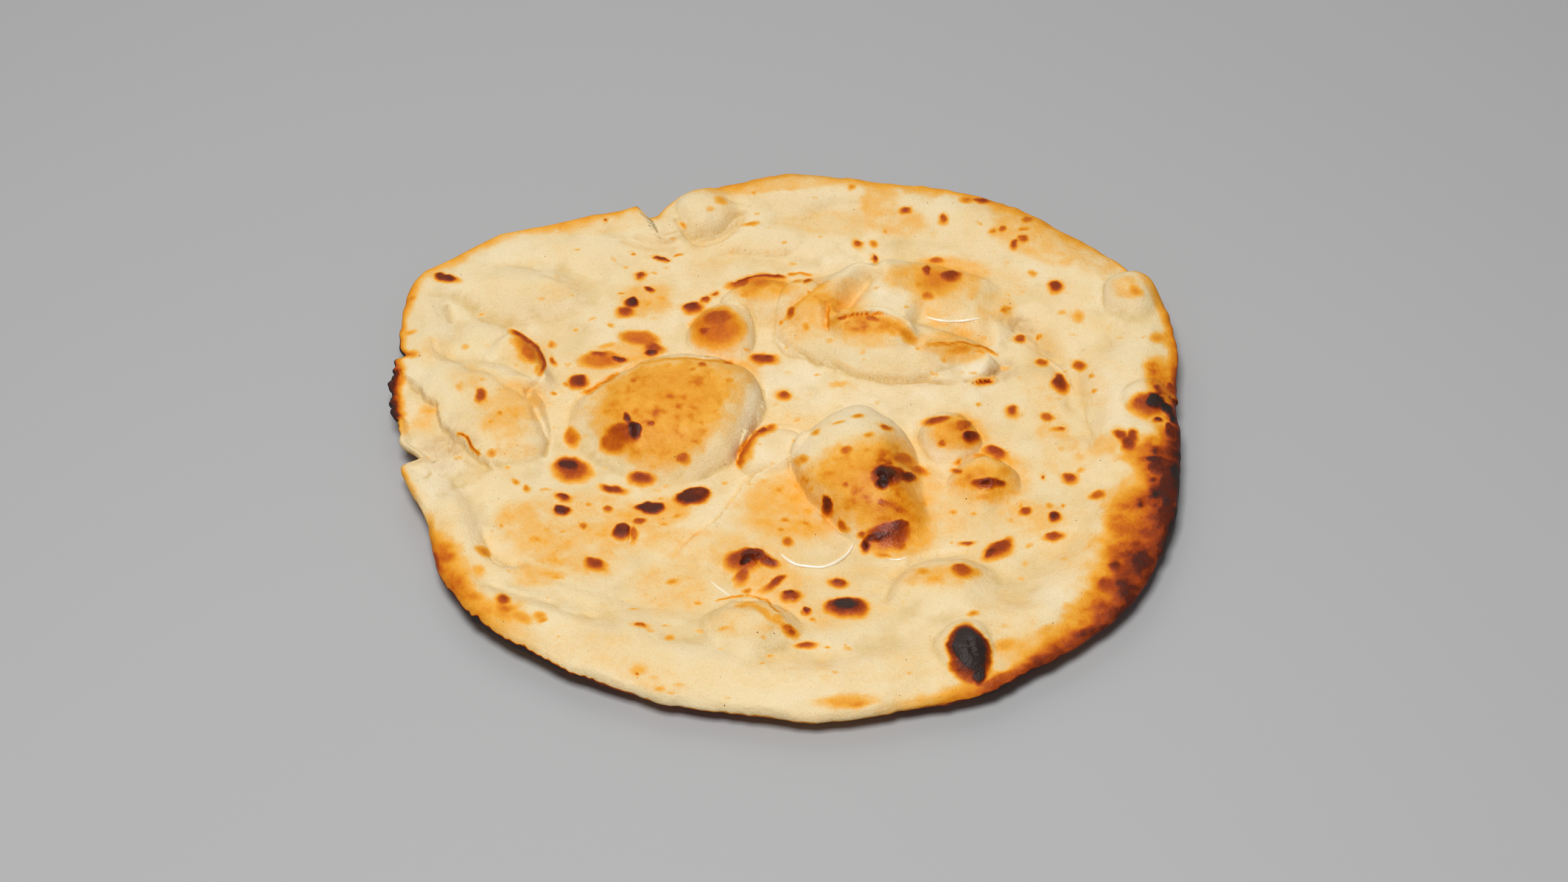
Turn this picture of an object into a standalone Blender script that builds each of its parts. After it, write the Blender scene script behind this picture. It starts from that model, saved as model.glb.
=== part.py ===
"""Naan: a whole leaf of tandoor-baked flatbread, modelled as one closed solid.

Frame: metres, +Z up, +X along the bread's length, origin under the middle of its box, on the
surface that it lies on. The plan below is written in millimetres. The sheet of dough lies flat in
the middle and is lifted towards its rim. Its upper side carries the rolled rim, the blisters, the
sunken pocket, the torn flap on the left and the folds between them.
"""

import bpy
import numpy as np

MM = 0.001
NAME = "naan"
CRUST_COLOUR = (0.83, 0.65, 0.40, 1.0)
CRUST_ROUGHNESS = 0.62

# The sheet and its lie.
SHEET_THICKNESS = 6.0
EDGE_THICKNESS = 3.6
EDGE_RADIUS = 2.0  # roundness of the outer edge
EDGE_TAPER = 20.0  # the sheet thins to the edge over this width
REST_SHARE = 0.52  # share of the way to the rim that lies flat
RIM_LIFT = 8.0  # how far the underside rises at the rim, on average
RIM_LIFT_BACK = 3.2  # more at the back, and as much less at the front

# The outline: distance from the outline's centre to the edge, at bearings in degrees from +X.
OUTLINE_CENTRE = (-3.0, -3.0)
OUTLINE = (
    (0, 131.5), (11, 137.5), (20, 141.5), (28, 139.5), (40, 134), (49, 132), (55, 131.5),
    (65, 125.5), (75, 122.5), (86, 125.5), (98, 122.5), (108, 121.5), (117, 124.5), (126, 132),
    (135, 143), (142, 147.5), (148, 152), (154, 148.5), (162, 141), (170, 138.5), (177, 132),
    (186, 130.5), (195, 126.5), (206, 129.5), (217, 131), (230, 127), (248, 125), (262, 125),
    (274, 128.5), (282, 128.5), (294, 133.5), (303, 134), (320, 137.5), (334, 135.5), (348, 132.5),
)
# Notches in the edge: bearing, depth, and how many degrees they open over on either side.
NOTCHES = ((113.6, 8.0, 7.0, 1.2), (183.4, 6.5, 4.0, 1.6))
NOTCH_SHARE = 0.8  # a notch pulls in the dough from this share of the way to the edge

# The rolled rim: its height and width at bearings round the edge.
RIM_HEIGHT = ((0, 3.5), (40, 3), (75, 2.5), (100, 2.5), (125, 1), (155, 1.5), (185, 2),
              (215, 4), (250, 4), (285, 3.5), (320, 3))
RIM_WIDTH = ((0, 36), (40, 30), (75, 24), (100, 22), (125, 26), (155, 24), (185, 22),
             (215, 28), (250, 38), (285, 42), (320, 38))

# Blisters: centre, reach at equal bearings anticlockwise from +X, height, squareness of the crown
# (2 is a plain dome, more is flatter on top) and steepness of the foot (less is steeper).
BLISTERS = (
    # the two big ones, left and front
    ((-42, 4), (30.5, 32.5, 26, 25.5, 26, 31, 33, 27, 25, 28, 27.5, 27.5), 11.5, 2.6, 0.85),
    ((20, -27), (21.5, 21.5, 25, 27, 26, 25, 21, 19.5, 21, 31, 35, 23), 12.0, 2.3, 0.90),
    # the broad body of the sunken pocket
    ((38, 47), (44, 42, 34, 29, 31, 35, 41, 31, 27, 28, 32, 38), 7.5, 4.0, 0.90),
    # round domes on the sheet
    ((-24, 49), (11, 12, 12, 11, 12, 12, 11, 12), 6.5, 2.6, 0.70),
    ((51, -11.5), (10.5, 10.5, 10.5, 10.5), 7.5, 2.2, 0.80),
    ((61, -31.5), (12, 12, 12, 12), 7.0, 2.0, 0.90),
    ((-7, 64), (16, 10, 8, 9, 16, 8, 6, 8), 6.5, 2.4, 0.70),
    ((-8, -12), (12, 10, 10, 10, 12, 14, 12, 10), 4.5, 3.0, 0.60),
    ((-19, -92), (15, 13, 12, 13, 15, 12, 12, 12), 5.5, 2.2, 0.90),
    ((43, -78), (19, 15, 12, 14, 18, 14, 14, 15), 5.0, 2.2, 1.00),
    # bulges in and beside the rim
    ((119, 46), (12, 11, 12, 11), 6.0, 2.2, 0.80),
    ((50, -109), (7, 9, 12, 9, 7, 9, 12, 9), 3.0, 2.2, 0.80),
    ((-95, 70), (27, 18, 13, 18, 27, 18, 13, 18), 5.0, 2.2, 1.10),
    ((-29, 102), (13, 12, 12, 12, 12, 11, 10, 12), 5.5, 2.6, 0.70),
    ((-8, 92), (15, 11, 10, 11, 15, 11, 9, 11), 4.0, 2.4, 0.90),
    ((-102, 8), (17, 19, 28, 34, 24, 20, 20, 22), 5.0, 3.0, 0.90),
)

# Folds: a path, the height of the crest (less than zero is a crease or a hollow), and its reach
# to the left and to the right of the path.
FOLDS = (
    # front lip of the pocket, and the slope that runs down from its peak
    (((13, 41), (24, 43), (33, 42), (39, 36), (44, 29), (54, 25), (64, 23), (72, 20)), 5.5, 8, 12),
    (((32, 71), (26, 63), (20, 54), (15, 45)), 4.5, 8, 17),
    (((36, 72), (50, 71), (62, 68), (72, 63)), 4.0, 9, 14),
    # hollow behind the lip
    (((46, 44), (56, 41), (66, 39), (75, 36)), -5.0, 9, 7),
    # crescent ridge on the left
    (((-100, 48), (-93, 43), (-88, 35), (-86, 27), (-88, 19)), 6.0, 5, 16),
    # groove outside the pocket, then down the right side
    (((72, 51), (80, 45), (86, 37), (91, 28), (94, 15), (94, 4), (95, -22)), -2.5, 7, 7),
    # grooves inside the rim, lower left
    (((-110, -18), (-108, -33), (-105, -48), (-99, -57)), -2.5, 6, 8),
    (((-102, -68), (-90, -74), (-80, -79), (-69, -85), (-54, -91)), -2.0, 7, 9),
    # creases at the back, round the pinched bulge and behind the rim
    (((-38, 97), (-34, 92), (-29, 93), (-22, 96), (-18, 102), (-13, 106)), -3.5, 4, 4),
    (((-62, 97), (-50, 91), (-37, 87)), -1.5, 5, 5),
    (((-15, 108), (0, 105), (15, 101), (30, 95)), -1.5, 9, 9),
)

# Layers of skin: a path, the drop to the right of it, and how wide the lower layer is.
LAYERS = (
    (((-137, 38), (-130, 26), (-124, 16), (-119, 5), (-112, -3), (-100, -18)), 3.0, 26),
    (((-42, -54), (-32, -44), (-22, -31), (-12, -20), (-2, -12)), -2.5, 34),
)

TEAR_WIDTH = 4.0  # the skin's edge falls over this width

# Mesh: fineness of the starting sphere and the share of its faces that the solid keeps.
SPHERE_STEPS = 6
KEPT_SHARE = 0.46
EDGE_SHARE = 0.09  # share of the sphere, each side of its equator, that rolls round the edge


def round_the_rim(stations, bearing):
    """Values at bearings in degrees, on a smooth closed curve through the stations."""
    knots = np.array([station[0] for station in stations], float)
    values = np.array([station[1] for station in stations], float)
    knots = np.concatenate([knots[-2:] - 360, knots, knots[:3] + 360])
    values = np.concatenate([values[-2:], values, values[:3]])
    slopes = np.gradient(values, knots)
    at = np.clip(np.searchsorted(knots, bearing, side="right") - 1, 1, len(knots) - 3)
    span = knots[at + 1] - knots[at]
    t = (bearing - knots[at]) / span
    start = values[at] * (1 + 2 * t) * (1 - t) ** 2 + slopes[at] * span * t * (1 - t) ** 2
    end = values[at + 1] * (3 - 2 * t) * t**2 - slopes[at + 1] * span * t**2 * (1 - t)
    return start + end


def evenly_round(values, bearing):
    """Values at bearings, from values given at equal steps of bearing."""
    step = 360 / len(values)
    return round_the_rim([(step * turn, value) for turn, value in enumerate(values)], bearing)


def bearing_of(x, y):
    return np.degrees(np.arctan2(y, x)) % 360


def smooth(t):
    t = np.clip(t, 0, 1)
    return t * t * (3 - 2 * t)


def blister(x, y, centre, reach, height, squareness, steepness):
    x, y = x - centre[0], y - centre[1]
    t = np.hypot(x, y) / evenly_round(reach, bearing_of(x, y))
    return height * np.clip(1 - t**squareness, 0, None) ** steepness


def along(path, x, y):
    """Distance to a path, above zero on its left, and the share of its length passed."""
    path = np.array(path, float)
    lengths = np.hypot(*np.diff(path, axis=0).T)
    passed = np.concatenate([[0], np.cumsum(lengths)])
    best = np.full(x.shape, np.inf)
    side = np.zeros(x.shape)
    share = np.zeros(x.shape)
    for (x0, y0), (x1, y1), before, length in zip(path[:-1], path[1:], passed, lengths):
        dx, dy = (x1 - x0) / length, (y1 - y0) / length
        t = np.clip((x - x0) * dx + (y - y0) * dy, 0, length)
        across = (y - y0) * dx - (x - x0) * dy
        distance = np.hypot(x - x0 - t * dx, y - y0 - t * dy)
        nearer = distance < best
        best = np.where(nearer, distance, best)
        side = np.where(nearer, np.where(across < 0, -1, 1), side)
        share = np.where(nearer, (before + t) / passed[-1], share)
    return best * side, share


def fold(x, y, path, height, left, right):
    distance, share = along(path, x, y)
    ends = smooth(share / 0.15) * smooth((1 - share) / 0.15)
    return height * ends * np.exp(-((distance / np.where(distance > 0, left, right)) ** 2) * 2)


def layer(x, y, path, drop, width):
    """The sheet drops across a torn edge and comes back over the width of the lower layer."""
    distance, share = along(path, x, y)
    ends = smooth(share / 0.1) * smooth((1 - share) / 0.1)
    right = -distance
    return -drop * ends * smooth(right / TEAR_WIDTH + 0.5) * smooth(2 * (1 - right / width))


def notched(share, bearing):
    """How far the notches pull the dough in towards the outline's centre."""
    cut = np.zeros_like(bearing)
    for middle, depth, before, after in NOTCHES:
        turn = bearing - middle
        cut += depth * smooth(1 - np.abs(turn) / np.where(turn < 0, before, after))
    return cut * smooth((share - NOTCH_SHARE) / (1 - NOTCH_SHARE))


def underside(share, bearing):
    lift = RIM_LIFT + RIM_LIFT_BACK * np.sin(np.radians(bearing))
    return lift * np.clip((share - REST_SHARE) / (1 - REST_SHARE), 0, None) ** 1.8


def thickness(x, y, share, bearing):
    """Sheet, rolled rim and relief. share runs from 0 at the centre to 1 at the edge."""
    inward = (1 - share) * round_the_rim(OUTLINE, bearing)
    sheet = EDGE_THICKNESS + (SHEET_THICKNESS - EDGE_THICKNESS) * smooth(inward / EDGE_TAPER)
    across = np.clip(inward / round_the_rim(RIM_WIDTH, bearing), 0, 1)
    roll = round_the_rim(RIM_HEIGHT, bearing) * np.sin(np.pi * across**0.8)
    relief = sum(blister(x, y, *shape) for shape in BLISTERS)
    relief += sum(fold(x, y, *shape) for shape in FOLDS)
    relief += sum(layer(x, y, *shape) for shape in LAYERS)
    return np.maximum(sheet + roll + relief, EDGE_THICKNESS)


def dough_points(sphere):
    """Moves the points of a unit sphere onto the bread: its top, round its edge, its underside."""
    bearing = bearing_of(sphere[:, 0], sphere[:, 1])
    height = np.abs(sphere[:, 2])
    edge = round_the_rim(OUTLINE, bearing)
    inner = (edge - EDGE_RADIUS) * np.sqrt(np.clip((1 - height) / (1 - EDGE_SHARE), 0, 1))
    turn = np.clip(height / EDGE_SHARE, 0, 1) * np.pi / 2
    radius = inner + EDGE_RADIUS * np.cos(turn)
    share = radius / edge
    radius = radius - notched(share, bearing)
    x = OUTLINE_CENTRE[0] + radius * np.cos(np.radians(bearing))
    y = OUTLINE_CENTRE[1] + radius * np.sin(np.radians(bearing))
    low = underside(share, bearing)
    half = thickness(x, y, share, bearing) / 2
    z = low + half + half * np.sin(turn) * np.sign(sphere[:, 2])
    return np.column_stack([x, y, z])


def crust_material():
    material = bpy.data.materials.new("baked_crust")
    material.use_nodes = True
    shader = material.node_tree.nodes["Principled BSDF"]
    shader.inputs["Base Color"].default_value = CRUST_COLOUR
    shader.inputs["Roughness"].default_value = CRUST_ROUGHNESS
    shader.inputs["Metallic"].default_value = 0.0
    return material


def naan():
    bpy.ops.mesh.primitive_ico_sphere_add(subdivisions=SPHERE_STEPS, radius=1.0)
    bread = bpy.context.active_object
    bread.name = NAME
    mesh = bread.data
    mesh.name = NAME
    sphere = np.empty(len(mesh.vertices) * 3)
    mesh.vertices.foreach_get("co", sphere)
    sphere = sphere.reshape(-1, 3)
    points = dough_points(sphere / np.linalg.norm(sphere, axis=1, keepdims=True))
    middle = (points.min(axis=0) + points.max(axis=0)) / 2
    points[:, :2] -= middle[:2]
    points *= MM
    mesh.vertices.foreach_set("co", points.ravel())
    mesh.materials.append(crust_material())
    mesh.shade_smooth()
    thin = bread.modifiers.new("fewer_faces", "DECIMATE")
    thin.ratio = KEPT_SHARE
    return bread


def main():
    for old in list(bpy.data.objects):
        bpy.data.objects.remove(old)
    collection = bpy.data.collections.new(NAME)
    bpy.context.scene.collection.children.link(collection)
    bread = naan()
    for holder in list(bread.users_collection):
        holder.objects.unlink(bread)
    collection.objects.link(bread)


main()
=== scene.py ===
"""Naan: the finished looks of a whole leaf of tandoor-baked flatbread.

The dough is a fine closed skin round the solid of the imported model. Its plan is written in
millimetres, with +X along the bread's length and +Y towards its back, and it is moved to the
solid's box at the end. Everything is made by operators, which main() runs in order.
"""

import math

import bpy
import numpy as np
from mathutils import Matrix, Vector


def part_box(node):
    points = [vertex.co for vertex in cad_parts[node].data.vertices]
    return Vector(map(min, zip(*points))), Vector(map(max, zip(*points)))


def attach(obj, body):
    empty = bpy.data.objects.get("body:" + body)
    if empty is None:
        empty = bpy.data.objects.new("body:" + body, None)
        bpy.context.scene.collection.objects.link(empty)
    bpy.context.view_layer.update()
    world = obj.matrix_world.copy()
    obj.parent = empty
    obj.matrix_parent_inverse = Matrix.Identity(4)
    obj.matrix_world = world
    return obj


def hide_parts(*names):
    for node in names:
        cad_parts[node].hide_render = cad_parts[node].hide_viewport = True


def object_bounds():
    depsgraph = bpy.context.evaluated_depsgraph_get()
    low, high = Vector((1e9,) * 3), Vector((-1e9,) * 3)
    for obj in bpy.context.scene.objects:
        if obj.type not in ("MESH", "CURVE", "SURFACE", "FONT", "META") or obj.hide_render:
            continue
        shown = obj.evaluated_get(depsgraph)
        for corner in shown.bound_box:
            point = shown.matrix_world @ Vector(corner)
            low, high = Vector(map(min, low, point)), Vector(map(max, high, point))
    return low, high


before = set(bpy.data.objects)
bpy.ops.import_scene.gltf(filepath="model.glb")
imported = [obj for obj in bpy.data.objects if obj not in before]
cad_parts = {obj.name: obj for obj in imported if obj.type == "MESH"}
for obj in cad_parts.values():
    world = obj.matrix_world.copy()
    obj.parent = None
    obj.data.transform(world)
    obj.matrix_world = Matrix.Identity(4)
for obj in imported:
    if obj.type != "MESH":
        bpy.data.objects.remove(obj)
CAD_BOX = [list(map(float, corner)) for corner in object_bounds()]

bl_info = {
    "name": "Naan Bread",
    "version": (1, 0, 0),
    "blender": (4, 5, 0),
    "location": "3D View > Sidebar > Naan",
    "description": "Models a blistered, charred naan with its browning, butter and crumbs",
    "category": "Add Mesh",
}

MM = 0.001
# Tint of the painted shade laid into hollows and creases.
PAINTED_SHADE_TINT = (0.76, 0.65, 0.42, 1)
SPECK_SCALE = 85.0
NODE = "naan"
BODY = "root"

# The point of the plan that sits at the middle of the solid's box.
PLAN_MIDDLE = (-3.72, -4.45)

# Marks are read on a level plane and carried to the dough along lines from this point, in front
# of the bread and above it, so that they keep their shape on the sides of the blisters.
MARKING_POINT = (-4.6, -735.7, 736.3)
MARKING_LEVEL = 10.0
MARKING_SHIFT = 0.9

# The outline: distance from its centre to the edge, at bearings in degrees from +X.
OUTLINE_CENTRE = (-3.0, -3.0)
OUTLINE = (
    (0, 131.5), (11, 137.5), (20, 141.5), (28, 139.5), (40, 134), (49, 132), (55, 131.5),
    (65, 125.5), (75, 122.5), (86, 125.5), (98, 122.5), (108, 121.5), (117, 124.5), (126, 132),
    (135, 143), (142, 147.5), (148, 152), (154, 148.5), (162, 141), (170, 138.5), (177, 132),
    (186, 130.5), (195, 126.5), (206, 129.5), (217, 131), (230, 127), (248, 125), (262, 125),
    (274, 128.5), (282, 128.5), (294, 133.5), (303, 134), (320, 137.5), (334, 135.5), (348, 132.5),
)
# Notches in the edge: bearing, depth, and how many degrees they open over on either side.
NOTCHES = ((113.7, 8.5, 7.0, 0.7), (183.4, 6.5, 4.0, 1.4), (162.3, 2.5, 1.6, 1.0))
NOTCH_SHARE = 0.8

# The rolled rim: its height and width at bearings round the edge.
RIM_HEIGHT = ((0, 3.5), (40, 3), (75, 2.5), (100, 2.5), (125, 1), (155, 1.5), (185, 2),
              (215, 4), (250, 4), (285, 3.5), (320, 3))
RIM_WIDTH = ((0, 36), (40, 30), (75, 24), (100, 22), (125, 26), (155, 24), (185, 22),
             (215, 28), (250, 38), (285, 42), (320, 38))

# Blisters: centre, reach at equal bearings anticlockwise from +X, height, squareness of the crown
# (2 is a plain dome, more is flatter on top), steepness of the foot (less is steeper) and the
# bearing of the side that fades softly into the dough.
BLISTERS = (
    ((-42, 4), (30, 34, 33.5, 31.5, 30, 34, 36.5, 32, 29, 29, 27.5, 27.5), 14.0, 3.3, 0.62, 225),
    ((20, -27), (21.5, 22, 27, 30.5, 28, 25.5, 21, 19.5, 21, 31, 36, 25), 15.0, 2.6, 0.66, 320),
    ((36, 45), (43, 39, 34, 32, 35, 41, 42, 32, 27, 26, 28, 35), 8.5, 3.8, 0.62, 10),
    ((-24, 48), (11.5, 12, 12, 11, 12.5, 12, 12, 13), 7.0, 2.8, 0.62, 250),
    ((51, -11.5), (10.5, 10, 10.5, 10, 10.5, 10.5, 10.5, 10.5), 8.0, 2.4, 0.70, 260),
    ((61, -32), (12, 12, 12, 12, 12, 13, 14, 13), 8.0, 2.3, 0.95, 270),
    ((-7, 62), (17, 11, 9, 11, 17, 12, 12, 12), 7.0, 2.8, 0.75, 270),
    ((-8, -12), (13, 11, 10, 11, 12, 14, 12, 10), 5.5, 3.2, 0.58, 300),
    ((-18, -93), (16, 14, 13, 14.5, 17, 15, 17, 15), 6.4, 2.3, 1.15, 270),
    ((43, -79), (21, 17, 14, 16, 19, 15, 17, 19), 6.0, 2.3, 1.25, 280),
    ((119.5, 47), (12.5, 12.5, 12, 11, 10.5, 12, 12.5, 12.5), 6.0, 2.6, 0.95, 290),
    ((50, -108.5), (8, 9, 11, 11, 11, 11, 13, 9), 3.4, 2.4, 0.90, 280),
    ((119, -3), (9, 9, 8, 9, 9.5, 10, 9, 9), 3.2, 2.4, 0.90, 300),
    ((-91, 70), (23, 17, 15, 19, 26, 17, 13, 17), 5.6, 2.2, 1.35, 170),
    ((-29, 105), (12, 13, 15, 13, 11, 9.5, 11, 9.5), 4.2, 2.2, 1.10, 80),
    ((-8, 94), (15, 11, 12, 13, 16, 11, 10, 12), 2.6, 2.6, 0.95, 80),
    ((-102, 8), (17.5, 19, 26, 34, 24, 20, 20, 22), 6.0, 3.2, 0.90, 180),
    ((-111, 46), (16, 13, 12, 12, 12, 12, 12, 14), 1.8, 2.4, 1.20, 180),
    ((20, 112), (46, 14, 8, 14, 46, 14, 8, 14), 2.2, 2.2, 1.30, 90),
    ((75, 86), (26, 22, 17, 22, 26, 22, 17, 22), 2.0, 2.0, 1.50, 90),
)

# Large folds: a path, the height of the crest (less than zero is a hollow), and its reach to the
# left and to the right of the path.
FOLDS = (
    # lip of the collapsed pocket, then its back body, its left ridge, basin and valley
    (((13, 42), (18, 43), (23, 43.5), (28, 44), (33, 43), (37.5, 39), (41, 35), (44, 30)), 5.0, 2.8, 13),
    (((45, 28.5), (55, 28.5), (60, 27.5), (65, 26), (71, 22)), 4.6, 2.8, 11),
    (((28, 70), (38, 72), (48, 71), (58, 68), (67, 63), (74, 56)), 3.2, 5, 12),
    (((31, 72), (22, 66), (13, 58), (4, 51), (-1, 46)), 3.2, 6, 7),
    (((33, 71), (36, 62), (37, 54)), 1.4, 5, 6),
    (((40, 46), (50, 41.5), (60, 38.5), (72, 35)), -4.8, 9, 5),
    (((29, 68), (25, 61), (20, 54), (16, 48)), -4.6, 5, 4.5),
    # crescent ridge on the left
    (((-102, 49), (-95, 45), (-90, 37), (-87, 29), (-88, 20)), 5.2, 4, 15),
    # valleys: right groove, right-hand rim, lower left rim, front rim
    (((72, 49), (80, 43), (86, 36), (91, 27), (94.5, 15), (96, 4), (97.5, -10), (97.5, -24)),
     -3.0, 8, 6),
    (((97, -30), (95, -44), (91, -55), (83, -64), (74, -73), (67, -84), (62, -96)), -2.2, 10, 10),
    (((-118, -12), (-112, -22), (-108, -34), (-105, -48), (-99, -57), (-88, -60)), -2.6, 7, 6),
    (((-112, -68), (-103, -67), (-95, -70), (-86, -74), (-77, -80), (-68, -84), (-56, -90)),
     -2.6, 9, 7),
    (((-56, -92), (-38, -96), (-20, -104), (0, -106), (20, -103), (38, -97)), -2.4, 9, 10),
    # valleys at the back
    (((-38, 97), (-34, 92), (-29, 93), (-22, 96), (-18, 102), (-13, 106)), -2.6, 3.5, 3.5),
    (((-68, 99), (-56, 93), (-46, 89), (-36, 88)), -1.6, 5, 5),
    (((-14, 109), (0, 106), (12, 101), (24, 96), (34, 92)), -1.7, 7, 7),
    (((-122, 72), (-113, 66), (-106, 60), (-98, 55), (-90, 54)), -1.4, 5, 5),
    (((-124, 74), (-121, 63), (-118, 54), (-119, 42), (-122, 34)), -2.0, 6, 6),
    (((-70, 62), (-72, 70), (-76, 77), (-84, 82)), -0.9, 5, 5),
    (((-30, 84), (-15, 84), (0, 82), (16, 80)), -0.9, 6, 6),
    (((84, 62), (94, 52), (104, 44), (110, 32), (108, 18)), -0.9, 8, 8),
)

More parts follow.
